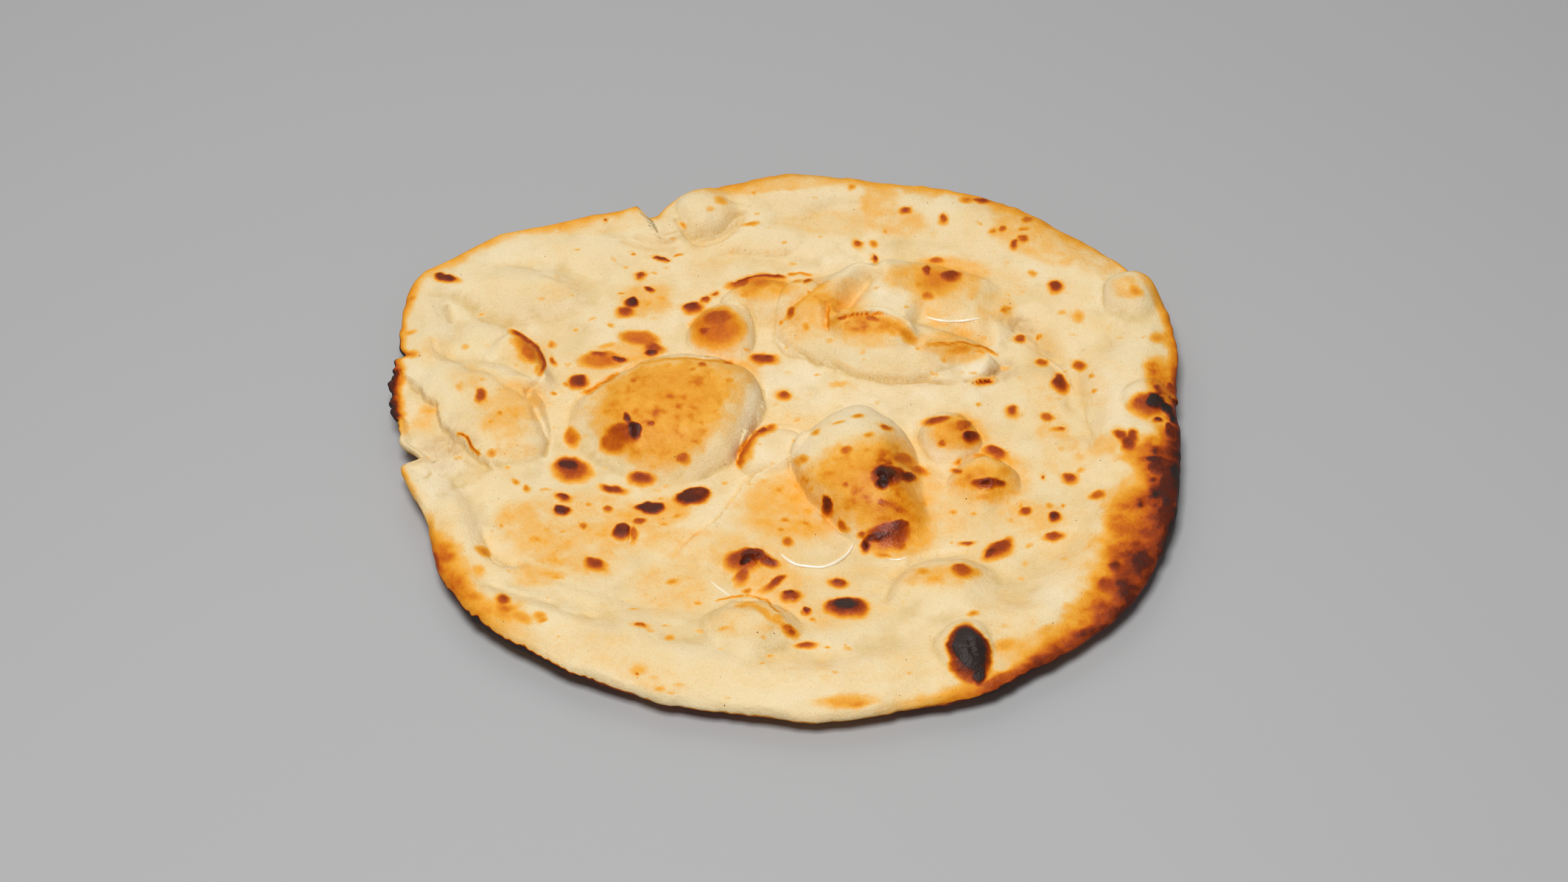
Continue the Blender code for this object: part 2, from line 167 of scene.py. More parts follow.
# Fine folds, on the marking plane: creases at the blisters' feet, wrinkles and small ridges.
FINE_FOLDS = (
    # foot of the pocket, and the wrinkles of its left side and lip
    (((-6, 45), (-3, 38), (1, 34), (4.5, 31.5), (7, 28), (10, 24)), -1.1, 1.4, 1.6),
    (((10, 30), (14, 26), (18, 22.5), (23, 19.5), (30, 17), (37, 15.5), (44, 16), (50, 14.5),
      (56, 12)), -1.3, 1.7, 1.5),
    (((21, 20.5), (25, 18), (31, 15), (36, 13.5)), -0.5, 0.7, 0.7),
    (((13.5, 58), (13, 53), (12.3, 48), (12.5, 42)), -1.4, 1.0, 1.3),
    (((10, 60), (10.5, 54), (9.5, 48)), 0.5, 1.4, 1.4),
    (((16, 50), (20, 50.6), (26, 51.2), (32, 51.5), (35, 49.5)), -1.9, 1.0, 1.6),
    (((32, 51), (36, 48), (40, 43), (44, 38)), -0.8, 1.2, 1.2),
    (((39, 37), (42, 34.5), (45, 31.5)), -0.6, 0.8, 0.8),
    (((38.5, 40), (42, 36.5), (44.5, 34)), -0.6, 0.8, 0.8),
    (((45, 33.6), (52, 33.6), (60, 32.4), (65, 29.5), (71, 25.5)), 1.0, 0.9, 2.4),
    (((31, 80), (30.2, 76), (29.5, 71)), 0.5, 0.8, 0.8),
    (((57, 14), (62, 15.5), (68, 17), (73, 21)), -1.3, 1.6, 1.8),
    # right-hand groove with torn crumb
    (((70, 47), (75, 44.5), (80, 39), (85, 34), (89, 28), (91.5, 22), (93.5, 17)), -1.6, 2.6, 3.4),
    (((85, 25), (89, 21), (92, 16), (94, 10), (94.3, 2)), 0.8, 0.7, 1.6),
    (((97.5, 2), (97, -8), (98.5, -16), (98, -24)), -0.9, 1.4, 1.6),
    (((96, 5), (103, 2), (108, 3)), -0.3, 1.5, 1.5),
    # left rim, torn pocket and crescent ridge
    (((-126, 51), (-125, 46), (-122.5, 42)), -0.7, 1.2, 1.6),
    (((-121.5, 68), (-119.8, 63), (-119, 57)), -0.7, 1.6, 2.0),
    (((-118, 35), (-110, 34.5), (-104, 31.5), (-100, 27), (-95, 21.5), (-90.5, 16)),
     -1.0, 1.2, 2.4),
    (((-90.5, 16), (-88, 9), (-86, 2), (-84, -5), (-86, -13)), -1.4, 1.0, 2.2),
    (((-112, -4), (-106, -10), (-100, -14.5), (-94, -21)), -0.5, 1.6, 2.2),
    (((-87, 31), (-87, 26), (-91.5, 21.5), (-92, 17)), -1.2, 1.0, 1.4),
    (((-98, 53), (-93, 47), (-89, 40), (-87, 33)), -0.9, 1.0, 2.2),
    # lower left rim
    (((-106, -42), (-103.5, -50), (-100, -57.5), (-96, -60), (-88, -59)), -0.9, 1.6, 2.0),
    (((-103, -54), (-101, -57.5), (-98, -60)), -0.8, 0.7, 0.7),
    (((-106, -68), (-101, -68), (-96, -71.5), (-88, -74.5), (-80, -79), (-73, -83), (-64, -85)),
     -1.0, 1.0, 3.0),
    (((-116, -66), (-112, -70), (-106, -71)), -0.6, 1.4, 1.4),
    # back: pinch, small arcs beside it, front of the bulge
    (((-36.5, 104), (-36.3, 99), (-33.5, 95), (-31, 97.5), (-26, 97.3), (-22, 100), (-21, 103),
      (-18, 107), (-12, 109)), -1.3, 1.4, 1.6),
    (((-40, 108), (-37.8, 104), (-36.5, 99.5)), -1.3, 1.8, 1.8),
    (((-56, 99), (-50, 95), (-43, 93), (-37, 96)), -0.6, 1.5, 1.5),
    (((-60, 97), (-53, 92.5), (-48, 90), (-42, 91)), -0.7, 1.6, 1.8),
    (((-49, 104), (-46, 100), (-42, 99), (-37, 100.5)), -0.7, 0.8, 1.0),
    (((-49, 101), (-44, 96.5), (-38, 97)), 0.5, 1.2, 1.2),
    (((-22, 119), (-18, 115), (-11, 111)), -0.7, 1.2, 1.6),
    (((-26, 84), (-20, 88), (-10, 85), (-2, 84.2), (4, 86)), -0.7, 1.6, 2.0),
    (((-84, 109), (-80, 104), (-76, 101)), -0.4, 1.6, 1.6),
    (((-40, 86.5), (-38, 88), (-35, 88.3)), -0.7, 0.7, 0.7),
    (((-108, 86), (-99, 87.3), (-91, 84.5), (-84, 79.5), (-77, 74)), -0.7, 1.8, 1.6),
    (((0, 74.7), (5, 73.5), (9, 70.5)), -0.4, 0.7, 0.8),
    # the big blisters' feet and skirts
    (((-78, 10), (-74, 16), (-70, 20), (-64, 25.5), (-58, 29.5), (-52, 32)), -1.0, 1.0, 1.3),
    (((-47, 34.5), (-38, 34), (-28, 31.5), (-19, 29.5), (-14.5, 26)), -0.5, 0.8, 0.8),
    (((-12, 22), (-10.7, 13), (-13, 3), (-15, -4), (-17.5, -10), (-22, -17), (-28, -23),
      (-36, -27)), -1.2, 0.9, 1.4),
    (((-3.5, -15), (-3.2, -22), (-2, -28), (1, -36), (5, -43), (10, -50), (17, -58)),
     -0.9, 1.3, 1.3),
    (((10, 5), (14, 5.2), (17, 4.5)), -0.3, 0.8, 0.8),
    (((42, -2), (40, -12), (42, -20), (46, -28), (48, -33)), -0.8, 1.8, 2.0),
    (((49, -29.5), (55, -24), (62, -20.5), (67, -19.5)), -0.8, 1.6, 1.2),
    (((-8, -1.2), (-1, -2), (4, -6)), -0.3, 0.9, 1.0),
    # thin flattened blister at the front of the middle
    (((-6, -21), (-12, -23), (-16, -25.5), (-20, -31), (-23, -37), (-26, -42.5), (-29, -46.5),
      (-34, -50.5), (-40, -57)), -0.9, 0.8, 1.2),
    (((-34, -50), (-37, -53), (-40.5, -57.5)), -0.9, 0.8, 0.8),
    (((-27, -49), (-31, -48.5), (-35, -50)), 0.7, 0.9, 1.2),
    # low bumps at the front
    (((-31, -88), (-27, -83), (-20.5, -80.2), (-15.5, -81.6), (-10, -87), (-4.5, -95)),
     0.9, 1.0, 2.6),
    (((-30, -86), (-25, -81), (-19, -78.8), (-14, -80), (-9, -85)), -0.7, 1.2, 1.0),
    (((-26, -85), (-21, -82.5), (-16, -84)), -0.4, 0.7, 0.7),
    (((24, -88), (26, -80), (30, -72), (36, -67), (45, -65.6), (55, -66)), -1.3, 1.6, 2.0),
    (((19.5, -56), (19, -59), (20.5, -62)), -0.8, 0.8, 0.8),
    (((26, -66), (29, -68), (32, -66.5)), -0.4, 0.7, 0.7),
    (((38, -99), (39.5, -108), (43.5, -118)), -0.5, 1.8, 2.2),
    (((112, 6), (110.5, -1), (112, -9)), -0.4, 1.5, 1.5),
    # split skins: charred blister at the front, left blister's scorch, small crack
    (((49.5, -101), (50.5, -106), (52, -111.5)), -0.8, 0.6, 0.8),
    (((51.5, -103.5), (53, -109)), 0.4, 0.6, 0.8),
    (((-57.5, 6), (-56.2, 1), (-55.5, -5)), -1.3, 0.9, 1.2),
    (((-60, 4), (-58.2, 0), (-56.5, -4)), -0.4, 0.7, 0.7),
    (((-56.5, -46), (-56, -50), (-57, -54)), -0.7, 0.5, 0.6),
    (((33, -26), (36, -29), (38.5, -33)), 0.6, 0.5, 0.8),
    (((-123, -12), (-126, -16.5), (-128.5, -19)), -1.0, 0.8, 0.9),
)

# Torn layers, on the marking plane: a path, the drop to its right, the width of the lower layer.
TEARS = (
    (((-138, 40), (-135, 33), (-130, 27.5), (-127, 22), (-124, 18.5), (-122, 12.5), (-120, 7),
      (-117, 3), (-113, -1), (-109, -6), (-105, -11), (-100, -17)), 2.6, 30),
    (((-42, -60), (-36, -53), (-30, -48), (-26, -43), (-20, -33), (-15, -26.5), (-8, -21.5),
      (0, -14)), -1.6, 40),
    (((-8, -68), (-10.5, -68.5), (-14, -67.5), (-17, -69.5), (-18.5, -73), (-19, -76.5)), 0.5, 12),
)

# Pits and holes, on the marking plane: centre, half-length, half-width, turn, depth.
PITS = (
    ((-18, -65), 2.4, 1.8, 20, 1.6), ((-14, -64), 1.5, 0.9, -30, 0.8), ((64, 13), 3.0, 1.4, 5, 2.4),
    ((27.5, -29), 1.3, 1.6, 0, 1.5), ((27.3, -33.5), 1.4, 2.2, 10, 1.0), ((30.5, -31), 0.8, 1.6, 0, 1.0),
    ((61.5, -35.5), 1.8, 1.0, 0, 0.7), ((-1, -88), 1.2, 0.9, 0, 0.6), ((20, -60.5), 1.0, 1.6, 0, 0.8),
    ((22.5, -57), 0.9, 0.7, 0, 0.5),
)

# Browning: centre on the marking plane, half-length, half-width, turn in degrees, tone. The tone
# runs from 0, plain dough, through gold, orange and brown to 1, char.
SPOTS = (
    # back left
    (-122, 81.5, 4.6, 1.9, -22, .88), (-134, 71, 2.2, 1.2, 30, .5), (-108.5, 60.5, 1.5, 1, 0, .33),
    (-94, 96.5, 1, 1.2, 0, .28), (-75, 93, 1.4, 1, 0, .33), (-65, 108, .5, 1, 0, .8),
    (-62.5, 87, 1, 2, -10, .28), (-55, 88.5, 1.2, .7, -15, .5), (-45, 85.5, 2.6, 1.2, -25, .8),
    (-39, 87.2, 1.8, .7, 15, .5), (-27, 82.5, .9, 2, -8, .35), (-53, 77, 1.8, 2.1, 0, .66),
    (-47.5, 77.5, 2.2, .9, 0, .32), (-49.5, 69.5, 2.7, 1.3, -35, .78), (-59, 68.3, 1.1, .8, 0, .45),
    (-53.5, 70.5, 1.2, .6, 0, .35), (-55.5, 63, 2.9, 2.9, 0, .9), (-58, 58.5, 3.2, 2.9, 20, .66),
    (-50, 62, 3.5, 1.2, 60, .35), (-44.5, 64, 2.6, .9, -50, .38), (-47.5, 55, .9, 1.6, 0, .42),
    (-63, 52, 1.4, 2.2, 20, .38), (-75, 50, 1, 1.6, 10, .33), (-83.5, 43.5, 1.3, 2, 25, .5),
    (-83, 35.3, 1, 2.1, 12, .62), (-34, 58.5, 3.6, 2.9, -10, .78), (-30, 62, 1.9, 1.2, 40, .66),
    (-26, 65, 1.4, .9, 25, .6), (-25.5, 47.5, 8.6, 10, 0, .55), (-25.5, 52, 6.0, 4.4, 0, .62),
    (-30, 46.5, 2.4, 2.4, 0, .68), (-25, 41, 5, 3, 0, .52), (-53, 44, 6.8, 3.8, -20, .56), (-48, 39, 4, 3, -30, .66),
    (-49, 36.5, 2.6, 2, 0, .86), (-64.5, 41.5, 5, 1.6, 5, .36), (-66, 34.5, 8, 4.2, -5, .55),
    (-67, 37, 4, 2, -15, .68), (-60, 33.8, 3.4, 1.7, -15, .9), (-74, 23.5, 3.3, 3.1, 0, .78),
    (-78.5, 23, 1.4, .9, 0, .5), (-83, 19, 1.2, .8, 0, .5), (-84, 14, 2, 1.5, 0, .22),
    (-108, 20, 1.8, 3.3, 10, .64), (-101, 10.5, 1.5, 1.5, 0, .5), (-104, 6.5, 1.4, 1.6, 30, .38),
    (-98, 12, 4, 2.5, 0, .28), (-103, -8.5, 2.4, 2, 0, .48), (-108, -6, 1.4, .8, 0, .3),
    (-114, 45, 1.8, 2.2, 0, .28), (-133, 42.5, 3.6, 2.2, 0, .5), (-134, 54, 2.8, 1.6, 0, .4),
    (-115, 25, 2, 3, 0, .25), (-108, 28, 2.5, 1.4, 0, .25), (-82, 79, 2, 2.5, 0, .15),
    # crescent ridge
    (-93, 43.5, 6.5, 3.2, -55, .52), (-91.5, 39.5, 4.6, 2.4, -62, .58), (-89, 32, 2.8, 1.7, -75, .42),
    (-97, 46, 3.6, 2.6, -40, .30), (-93.5, 37, 4, 2.6, -60, .32),
    # left blister
    (-55, -2, 3.0, 4.8, 4, .97), (-57.2, 4, 1.5, 3.6, 12, .82), (-59, -3, 5.6, 5.6, 0, .64),
    (-62, -7, 4, 5, 30, .58), (-51, 2.5, 3.4, 2.6, 0, .5), (-49.5, 1.2, 1.8, 1.8, 0, .66),
    (-38.5, -15.5, 2.8, 2.8, 30, .62), (-35, -8, 3.8, 1.9, -10, .5), (-45, -13, 5.4, 2.8, 0, .42),
    (-31.5, 29, 1.9, 1.6, 0, .58), (-35, 27, 2.2, 1.4, 20, .52), (-55, 23, 1.5, 1.9, 0, .54),
    (-63, 25, 2.2, 1.4, 25, .5), (-54.5, 17.5, 2, 1.2, 0, .48), (-22, 21, 1.7, 2.3, 20, .48),
    (-22, 29, 1.8, 1, -20, .54), (-40, 9, 2, 1.7, 0, .56), (-35, 8, 2.6, 1.3, -10, .52),
    (-32, 1, 2.3, 1.9, 0, .46), (-28, 3, 1.7, 1.4, 0, .42), (-40, 0, 1.9, 1.7, 0, .46),
    (-57, 14, 2.4, 2.8, 0, .42), (-46, 13, 1.7, 1.1, 0, .4), (-50, 24, 1.5, 1.3, 0, .38),
    (-27, 6, 2, 1.4, 0, .38), (-62, 10, 2, 1.6, 0, .36), (-43, 30, 2.3, 1.1, 0, .42),
    (-70, 19.5, 3.6, 1.2, 30, .48), (-47, 20, 3, 2, 20, .36), (-33, 15, 3, 2.2, -20, .36),
    (-27, 13, 2.4, 3, 10, .34), (-50, -6, 3, 3, 0, .42),
    # gold islands on the left
    (-10, 30.5, 4.6, 2.9, -15, .7), (-8, 31.5, 2.4, 1.6, -15, .74), (-4, 12, 2.3, 2.2, 0, .66),
    (-12.5, 101.5, 3.4, 1.3, 5, .48), (-10.5, 119, 1.2, 1.8, 0, .42), (-23, 116, 3, 4, 25, .36),
    (-27, 111, 2.5, 2.5, 0, .26), (-37, 103, 1.6, 2.6, 20, .42),
    # back right
    (25, 119, 1.6, 1.8, 0, .5), (43.5, 104.5, 2.3, 2.2, 20, .66), (48.5, 104, 1.2, 1.2, 0, .3),
    (57.5, 98.5, 1.6, 2.7, -8, .62), (74.5, 91, 2, 1.6, 30, .5), (78.5, 91.8, 1.7, 1.4, 0, .6),
    (82, 89.5, .9, .9, 0, .45), (86, 91.2, 2, 1, 5, .52), (81.5, 83, 1.7, 2.7, -20, .68),
    (85, 86, 2, 2.2, 0, .62), (26, 87.5, 1.5, 2.5, 12, .6), (31.5, 87.5, 1.4, 2.2, 15, .52),
    (35.5, 93.5, 1.1, 2, 12, .42), (93, 76.8, 1.2, 1.2, 0, .4), (98.5, 76.3, 1.2, 1.2, 0, .44),
    (87, 66.5, 2, 2, 0, .4), (94, 58.7, 2.8, 3.4, 0, .76), (100, 43, 3.4, 4.6, 0, .34),
    (95, 45, 3, 1.5, 20, .28), (85, 33.5, .9, 2, 0, .5), (78.5, 33, 1.9, 1.5, -30, .66),
    (74.5, 48.5, 1.6, 2.6, 0, .5), (85.5, 21.5, 2.2, 1.8, -20, .58), (98, 18.5, 2.2, 2.3, -30, .62),
    (102, 13, 1.3, 1.6, -20, .42), (102, 5.5, 1.7, 1, 30, .42), (90.5, 10, 2.9, 4.8, 4, .76),
    (62.5, 2, 1.6, 1.2, 0, .42), (73, -2.5, 2.4, 2.8, 0, .7), (15, 16, 5, 2, 0, .25),
    (20.5, 14.5, 1.4, 1, -30, .3), (5.5, 12, .9, .9, 0, .22), (2, 78.5, 2.4, 1.2, 0, .25),
    (81, 57, 1.3, 1.3, 0, .22), (70, 95, .8, 1.8, 20, .3), (12, 101, 1.5, 1, 0, .22),
    # pocket
    (52, 66, 10.6, 10.6, -10, .48), (57.5, 67.5, 4.0, 3.4, 0, .72), (49.5, 70.5, 1.8, 3.4, 8, .7),
    (53, 76, 3.0, 1.8, 0, .6), (49, 58, 2.2, 2.1, 0, .56), (46, 64, 2.4, 5, 0, .42),
    (65, 60, 5, 8, -20, .22), (0.5, 53.5, 1.6, 3.2, -28, .62), (-3, 48.5, 1.2, 1.6, 0, .45),
    (9, 61.5, 1.8, 1.2, 35, .5), (7, 63.5, 1.4, .9, 35, .45), (5.5, 45.5, 1.8, 3, 0, .44),
    (17.6, 49.2, 2.2, 1.1, -5, .66), (28.5, 47.6, 3.2, 1.6, -12, .6), (25.5, 44.5, 1.8, 1.4, 0, .5),
    (32, 44.5, 1.6, 1.6, 0, .46), (35, 40.5, 2.2, 4, 35, .38), (20, 46.5, 3, 2, 0, .44),
    (58, 29.5, 6.2, 3, 4, .46), (52, 24.5, 1.5, 1.2, 0, .36), (64.5, 28, 2.4, 1.4, -20, .4),
    (43.5, 31.5, 1, .8, 0, .36), (31, 78.8, .8, 1.8, 15, .7), (65, 13.5, 3.2, 1.6, 5, .88),
    (24.5, 31, 1.6, 1.6, 0, .28), (13, 38, 2, 2.5, 0, .24), (73, 19, 3, 2.4, 0, .22),
    (76, 49, 1.4, 1.6, 0, .46), (78.5, 34, 1.7, 1.5, -30, .62), (86.2, 34.2, 1, 1.6, 0, .45),
    (78, 73, 2, 1.4, -30, .2),
    # crest behind the pocket
    (-17, 70, 4.4, 2, 24, .62), (-10, 70, 8.5, 4.4, 2, .5), (-3, 68.5, 5, 4.4, 10, .42),
    (-14, 66.5, 6, 3.6, 20, .36), (6.5, 69.5, 1.7, 1.1, 0, .62), (3, 70, 1.8, 1.2, 0, .4),
    # right rim
    (72, 107.5, 3.4, 1.4, -25, .66), (67, 108.5, 3, 2, -20, .5), (88, 95.5, 1.8, 2.4, -40, .55),
    (122, 55, 2.6, 3.6, 20, .45), (126, 30, 3.4, 3.4, 0, .4), (123, 12, 4, 5.5, 0, .45),
    (127.5, 5.5, 1.6, 2, 0, .7), (119.5, 31.5, 4, 1, 0, .3), (110, 37, 1.5, 1, 20, .24),
    # front left: round scorches
    (-76, -3, 2.2, 4.8, 8, .55), (-76, -18, 6.4, 5.0, -35, .68), (-76.5, -17, 4.2, 3.1, -25, .93),
    (-53, -24, 4.2, 3.4, -15, .7), (-62, -28.5, 4.6, 2.0, -14, .76), (-79, -31, 2.8, 1.7, -25, .74),
    (-79.5, -37, 3.0, 2.7, -20, .86), (-64, -37, 1.6, 2.1, 40, .6), (-36, -34, 5.9, 3.7, 14, .9),
    (-50, -38, 5.0, 2.9, -5, .92), (-53.5, -43.5, 2.2, 1.2, 5, .64), (-41, -42, 1.3, .9, 0, .5),
    (-45, -45.7, 1.5, .9, -20, .46), (-59.5, -48, 3.3, 3.5, 0, .86), (-55.5, -49.5, 1.3, 3.6, 0, .58),
    (-72, -44, 1.1, 1.6, 20, .55), (-70.5, -35, 1.2, .7, -10, .5), (-67.5, -34, 1, .7, 20, .42),
    (-71.5, -31.7, 1, .6, 0, .38), 
(-95, -22.7, .9, 1.6, 35, .5),
    (-90.5, -25.8, 1.2, 1.7, 35, .52), (-99, -42, 1.3, 1.2, 0, .4), (-84, -44.5, 1.4, 1.6, 30, .34),
    (-78.5, -46.5, 1.5, 1, 0, .34), (-88, -49, 3.6, 2.2, -20, .38), (-68, -61.5, 4.1, 2.5, -22, .7),
    (-43, -71.5, 2.4, 1.6, -20, .44), (-35.5, -81, 1.6, 1.1, 0, .42), (-53, -89.5, 2.1, .8, -18, .6),
    (-44, -95, 1.6, 1.7, 0, .42), (-45.5, -90.5, 1.6, .6, 0, .4), (-98, -75, 2.2, 2.6, 20, .66),
    (-85, -84.5, 1.7, 1.2, 0, .48), (-47, -116, 2.6, 1.4, 0, .35), (-54.5, -109.7, .6, .8, 0, .6),
    (-54, -108, 4.5, 3.5, 0, .28), (-25, -28.7, 1.2, .9, 0, .34), (-46, -34, 1.2, .7, 10, .36),
    (-97.5, -37, 2.4, 2.6, 30, .24), (-77, -88.5, 1.8, 1, 0, .18), (-55, -82, 2.6, .6, 0, .34),
    (-86, -60, 2.4, .8, -15, .34), (-82, -59, 6, .9, -8, .32), (-82, -65, 8, 2.2, -12, .3),
    (-80, -67.2, 3.2, .8, -15, .36), (-85, -27.5, 2.8, .9, 0, .3), (-61, -96, 1.3, .9, 0, .3),
    (-104.5, -54, 3.6, 1.8, -45, .5), (-97.5, -16, 1.3, 1.6, 30, .28), (-41, -44.5, 1, .6, 0, .3),
    # crater and its neighbours
    (-19.5, -64, 6.2, 5.2, -10, .66), (-16.5, -62.5, 5.4, 3.2, -6, .84), (-12, -65.3, 3.8, 2.3, -30, .78),
    (-19.5, -65, 2.9, 2.2, 30, .97), (-20.3, -70.5, 2.3, 4.6, -14, .62), (-18.8, -77.6, 1.7, 1.1, -8, .52),
    (-10.4, -74.8, 5.2, 1.7, 38, .7), (-5, -80.6, 3.8, 2.6, -10, .7), (-5.8, -79.3, 2.5, 1.4, 0, .86),
    (-.5, -87.4, 1.7, 1.3, -20, .8), (1, -90.6, 1.6, 1, 0, .42), (-6.2, -95.2, 3.6, 1.7, -47, .58),
    (-5.4, -96.2, 1.8, 1.1, -47, .7), (-1.2, -101.7, 3.2, 1.3, -2, .62), (-12.5, -104.8, 1.3, .9, 0, .36),
    (-15.5, -108, 1.8, .7, 10, .28), (5.5, -103.2, 1.2, .7, 0, .44), (11.5, -102.5, .7, .7, 0, .34),
    (-14.5, -96.8, 1.5, 1.2, 0, .28), (-27, -92.5, 3.0, 1.2, 30, .32), (-9.5, -89, 3.4, 2, -50, .34),
    # half-moon, thin blister
    (-12.6, -4.7, 2.4, 1.3, 38, .7), (-17.6, -12, 1.6, 3.4, -16, .56), (-19, -19, 1.4, 2.6, -6, .56),
    (-5, -47, 2.2, 1.5, -15, .5), (1, -49, 2.0, 1.5, 0, .48), (-5, -56.5, 1.7, 1.5, 0, .56),
    (-6.5, -33, 2, 2, 0, .4), (-12, -29, 4, 2, 10, .26), (-7, -51.5, 1.3, .8, 0, .5),
    (-2, -52.5, 1.5, .8, -15, .42), (0, -20, 2, 3.5, 0, .36), (1, -28, 1.4, 2.4, 0, .44),
    (-13, -47, 2.5, 2, 0, .26), (-2, -38, 3.5, 2.5, 0, .32), (-6, -40, 2.5, 1.2, 0, .3),
    (4, -33, 2, 3.5, 0, .34), (-10, -36, 2.4, 1.4, 0, .28), (2, -43, 2.4, 2.6, 0, .34),
    # right blister
    (29, -29.5, 6.2, 5.2, -12, .76), (28.3, -28.8, 4.2, 3.8, 0, .97), (27.5, -32.5, 2.8, 3.2, 0, 1.06),
    (35.5, -30.3, 3.2, 2.2, -20, .82), (35, -22.5, 4.8, 2.6, -40, .56), (39.5, -27.5, 3.8, 1.9, -25, .56),
    (33, -35, 4.5, 3, -10, .5), (14, -2.5, 3, .9, 20, .42), (21, -.5, 2, 1, 0, .5),
    (6, -6.5, 2.6, 1.1, 35, .45), (30, -6.5, 2.4, 1.2, -30, .62), (24, -9.5, 2.2, 1.7, 0, .45),
    (16, -16.5, 2.3, 2.3, 0, .56), (23, -17, 2.6, 2.2, 10, .45), (1.5, -19, 2.1, 2.3, 0, .48),
    (10, -26, 4.8, 2, 8, .48), (2.5, -29, 1.8, 2.2, 0, .46), (14.7, -32, 1.5, 1.7, 0, .58),
    (18, -24, 5, 3, 0, .42), (21, -38, 3.2, 2.6, 0, .52), (26.5, -41.5, 1.7, 2, 0, .6),
    (8, -42, 1.9, 5.2, 3, .82), (8, -41.5, 1.2, 3.2, 4, .9), (13, -50.5, 1.7, 3.3, 20, .58),
    (27, -49, 7.4, 5.4, 0, .47), (15, -42, 3, 4, 0, .42), (28, -56.3, 8.4, 5.8, 18, .7),
    (31.5, -52.6, 3.8, 3.4, 30, .8), (24.2, -57.5, 4.8, 2.6, 15, .85), (20, -60.3, 2.1, 2.8, -8, .88),
    (19, -55, 1.7, 1.4, 0, .64), (25.5, -64.5, 3, 1.6, -25, .5), (31, -60, 3, 2.6, 0, .6),
    # small domes to its right
    (47.5, -4.2, 4.6, 1.7, 10, .68), (53, -8.5, 7.4, 5.2, -30, .46), (56, -8, 3.2, 3.2, -45, .62),
    (58.3, -13.6, 2.8, 3.6, -10, .84), (57.6, -14, 1.6, 2.3, 0, .9), (48, -15.2, 1.7, 1.6, 0, .57),
    (66, -21.5, 4.6, 2.9, -40, .68), (61, -22.5, 3.6, 1.5, 15, .44), (52.5, -24.5, 1.7, 1.1, 30, .5),
    (52, -28.5, 2.0, 1.4, 0, .58), (61.5, -35.5, 5.6, 3.0, -3, .76), (61, -35, 3.0, 2.0, -3, .97),
    (66, -36, 2.2, 1.8, 0, .84), (60, -29, 6.5, 3.6, 0, .38), (68, -30, 4, 5, 0, .42),
    (61, -41, 7, 2.6, 0, .38), (53.5, -34, 2.4, 4.4, 0, .36), (50, -47, 1.5, 1.6, -30, .42),
    (56.5, -48.5, 1.1, 1.1, 0, .38),
    # right of the middle
    (84.5, -5.5, 2.0, 2.0, -15, .58), (87.5, -11.5, 2.9, 1.7, 0, .5), (88.6, -11.4, 1.4, 1.1, 0, .62),
    (93, -25, 1.6, 1.4, 0, .42), (88, -21.5, 1.2, .8, 0, .3), (81, -33.5, .5, .9, 0, .66),
    (89.5, -34.5, 2.6, 2.4, -30, .68), (93, -31.5, 1.8, 1.4, 30, .4), (97.5, -43, 2.5, 1.7, 4, .58),
    (73, -48.5, 2.5, 1.8, -5, .64), (71.5, -46, 1.6, .8, 30, .45), (81.5, -47, 2.1, 2.2, 0, .42),
    (85.7, -47.5, .8, .8, 0, .5), (82.5, -52.3, 2.7, 2.4, 0, .84), (81, -60.6, 3.2, 1.8, 8, .66),
    (68, -52.5, 1.6, 1.3, 0, .34), (73, -64, 2.3, 1.5, 10, .32), (63, -65, 5.8, 3.0, 42, .7),
    (60.5, -66.5, 3.2, 1.6, 45, .8), (53, -61.6, 2.2, 1.0, 5, .64), (48.5, -61, .9, .9, 0, .3),
    (51, -73.5, 4.0, 2.6, -30, .62), (37.5, -73, 2.8, 2.4, 0, .42), (44, -73, 12, 4.5, 5, .24),
    (52, -92, 2.1, 1.6, 20, .5), (10.6, -75.6, 3.2, 2.1, -4, .7), (10, -74.9, 1.9, 1.1, 0, .8),
    (12.4, -86.6, 6.7, 4.3, -12, .78), (12.2, -85.6, 5.0, 2.9, -12, 1.1), (46.5, -82, 1.3, 1, 0, .26),
    (69, -78.5, 1.2, .9, 0, .28), (93, -65, 1, .9, 0, .28), (70.5, -72, 1.6, 2.2, -20, .24),
    (9.5, -81.5, 1.6, .8, 0, .24), (31, -84.5, 1, 1.6, 0, .2), (77, -3, 3, 2, 0, .14),
    # heart-shaped scorch, charred blister at the front, charred right rim
    (108.2, -16.5, 2.0, 3.4, 18, .66), (112, -17.2, 2.4, 3.2, -22, .68), (110.4, -20.5, 3.0, 3.8, 0, .74),
    (50, -109.5, 6.7, 11.6, 6, .82), (50, -109, 5.2, 10, 6, 1.25), (52.5, -118, 2.6, 5, -8, 1.08),
    (119.5, -2.5, 6.4, 5.6, -10, .7), (121.5, -1.6, 4.2, 3.8, -10, 1.12), (125.6, -5.5, 2.2, 4.2, 22, 1.15),
    (127.2, -10, 1.6, 3.2, 5, 1.1), (121.5, -10.3, 2.0, 1.6, 0, .84), (125.5, -17.5, 2.2, 6.5, 4, .78),
    (118.5, -28.6, 4.0, 2.2, -25, .9), (119.5, -33, 4.6, 5, 0, .82), (124.3, -36, 2.0, 5.6, 2, 1.1),
    (121, -40, 3.4, 5.4, 0, .84), (119.3, -49, 2.4, 3.6, -5, .95), (120.6, -57, 1.8, 3.0, -20, .99),
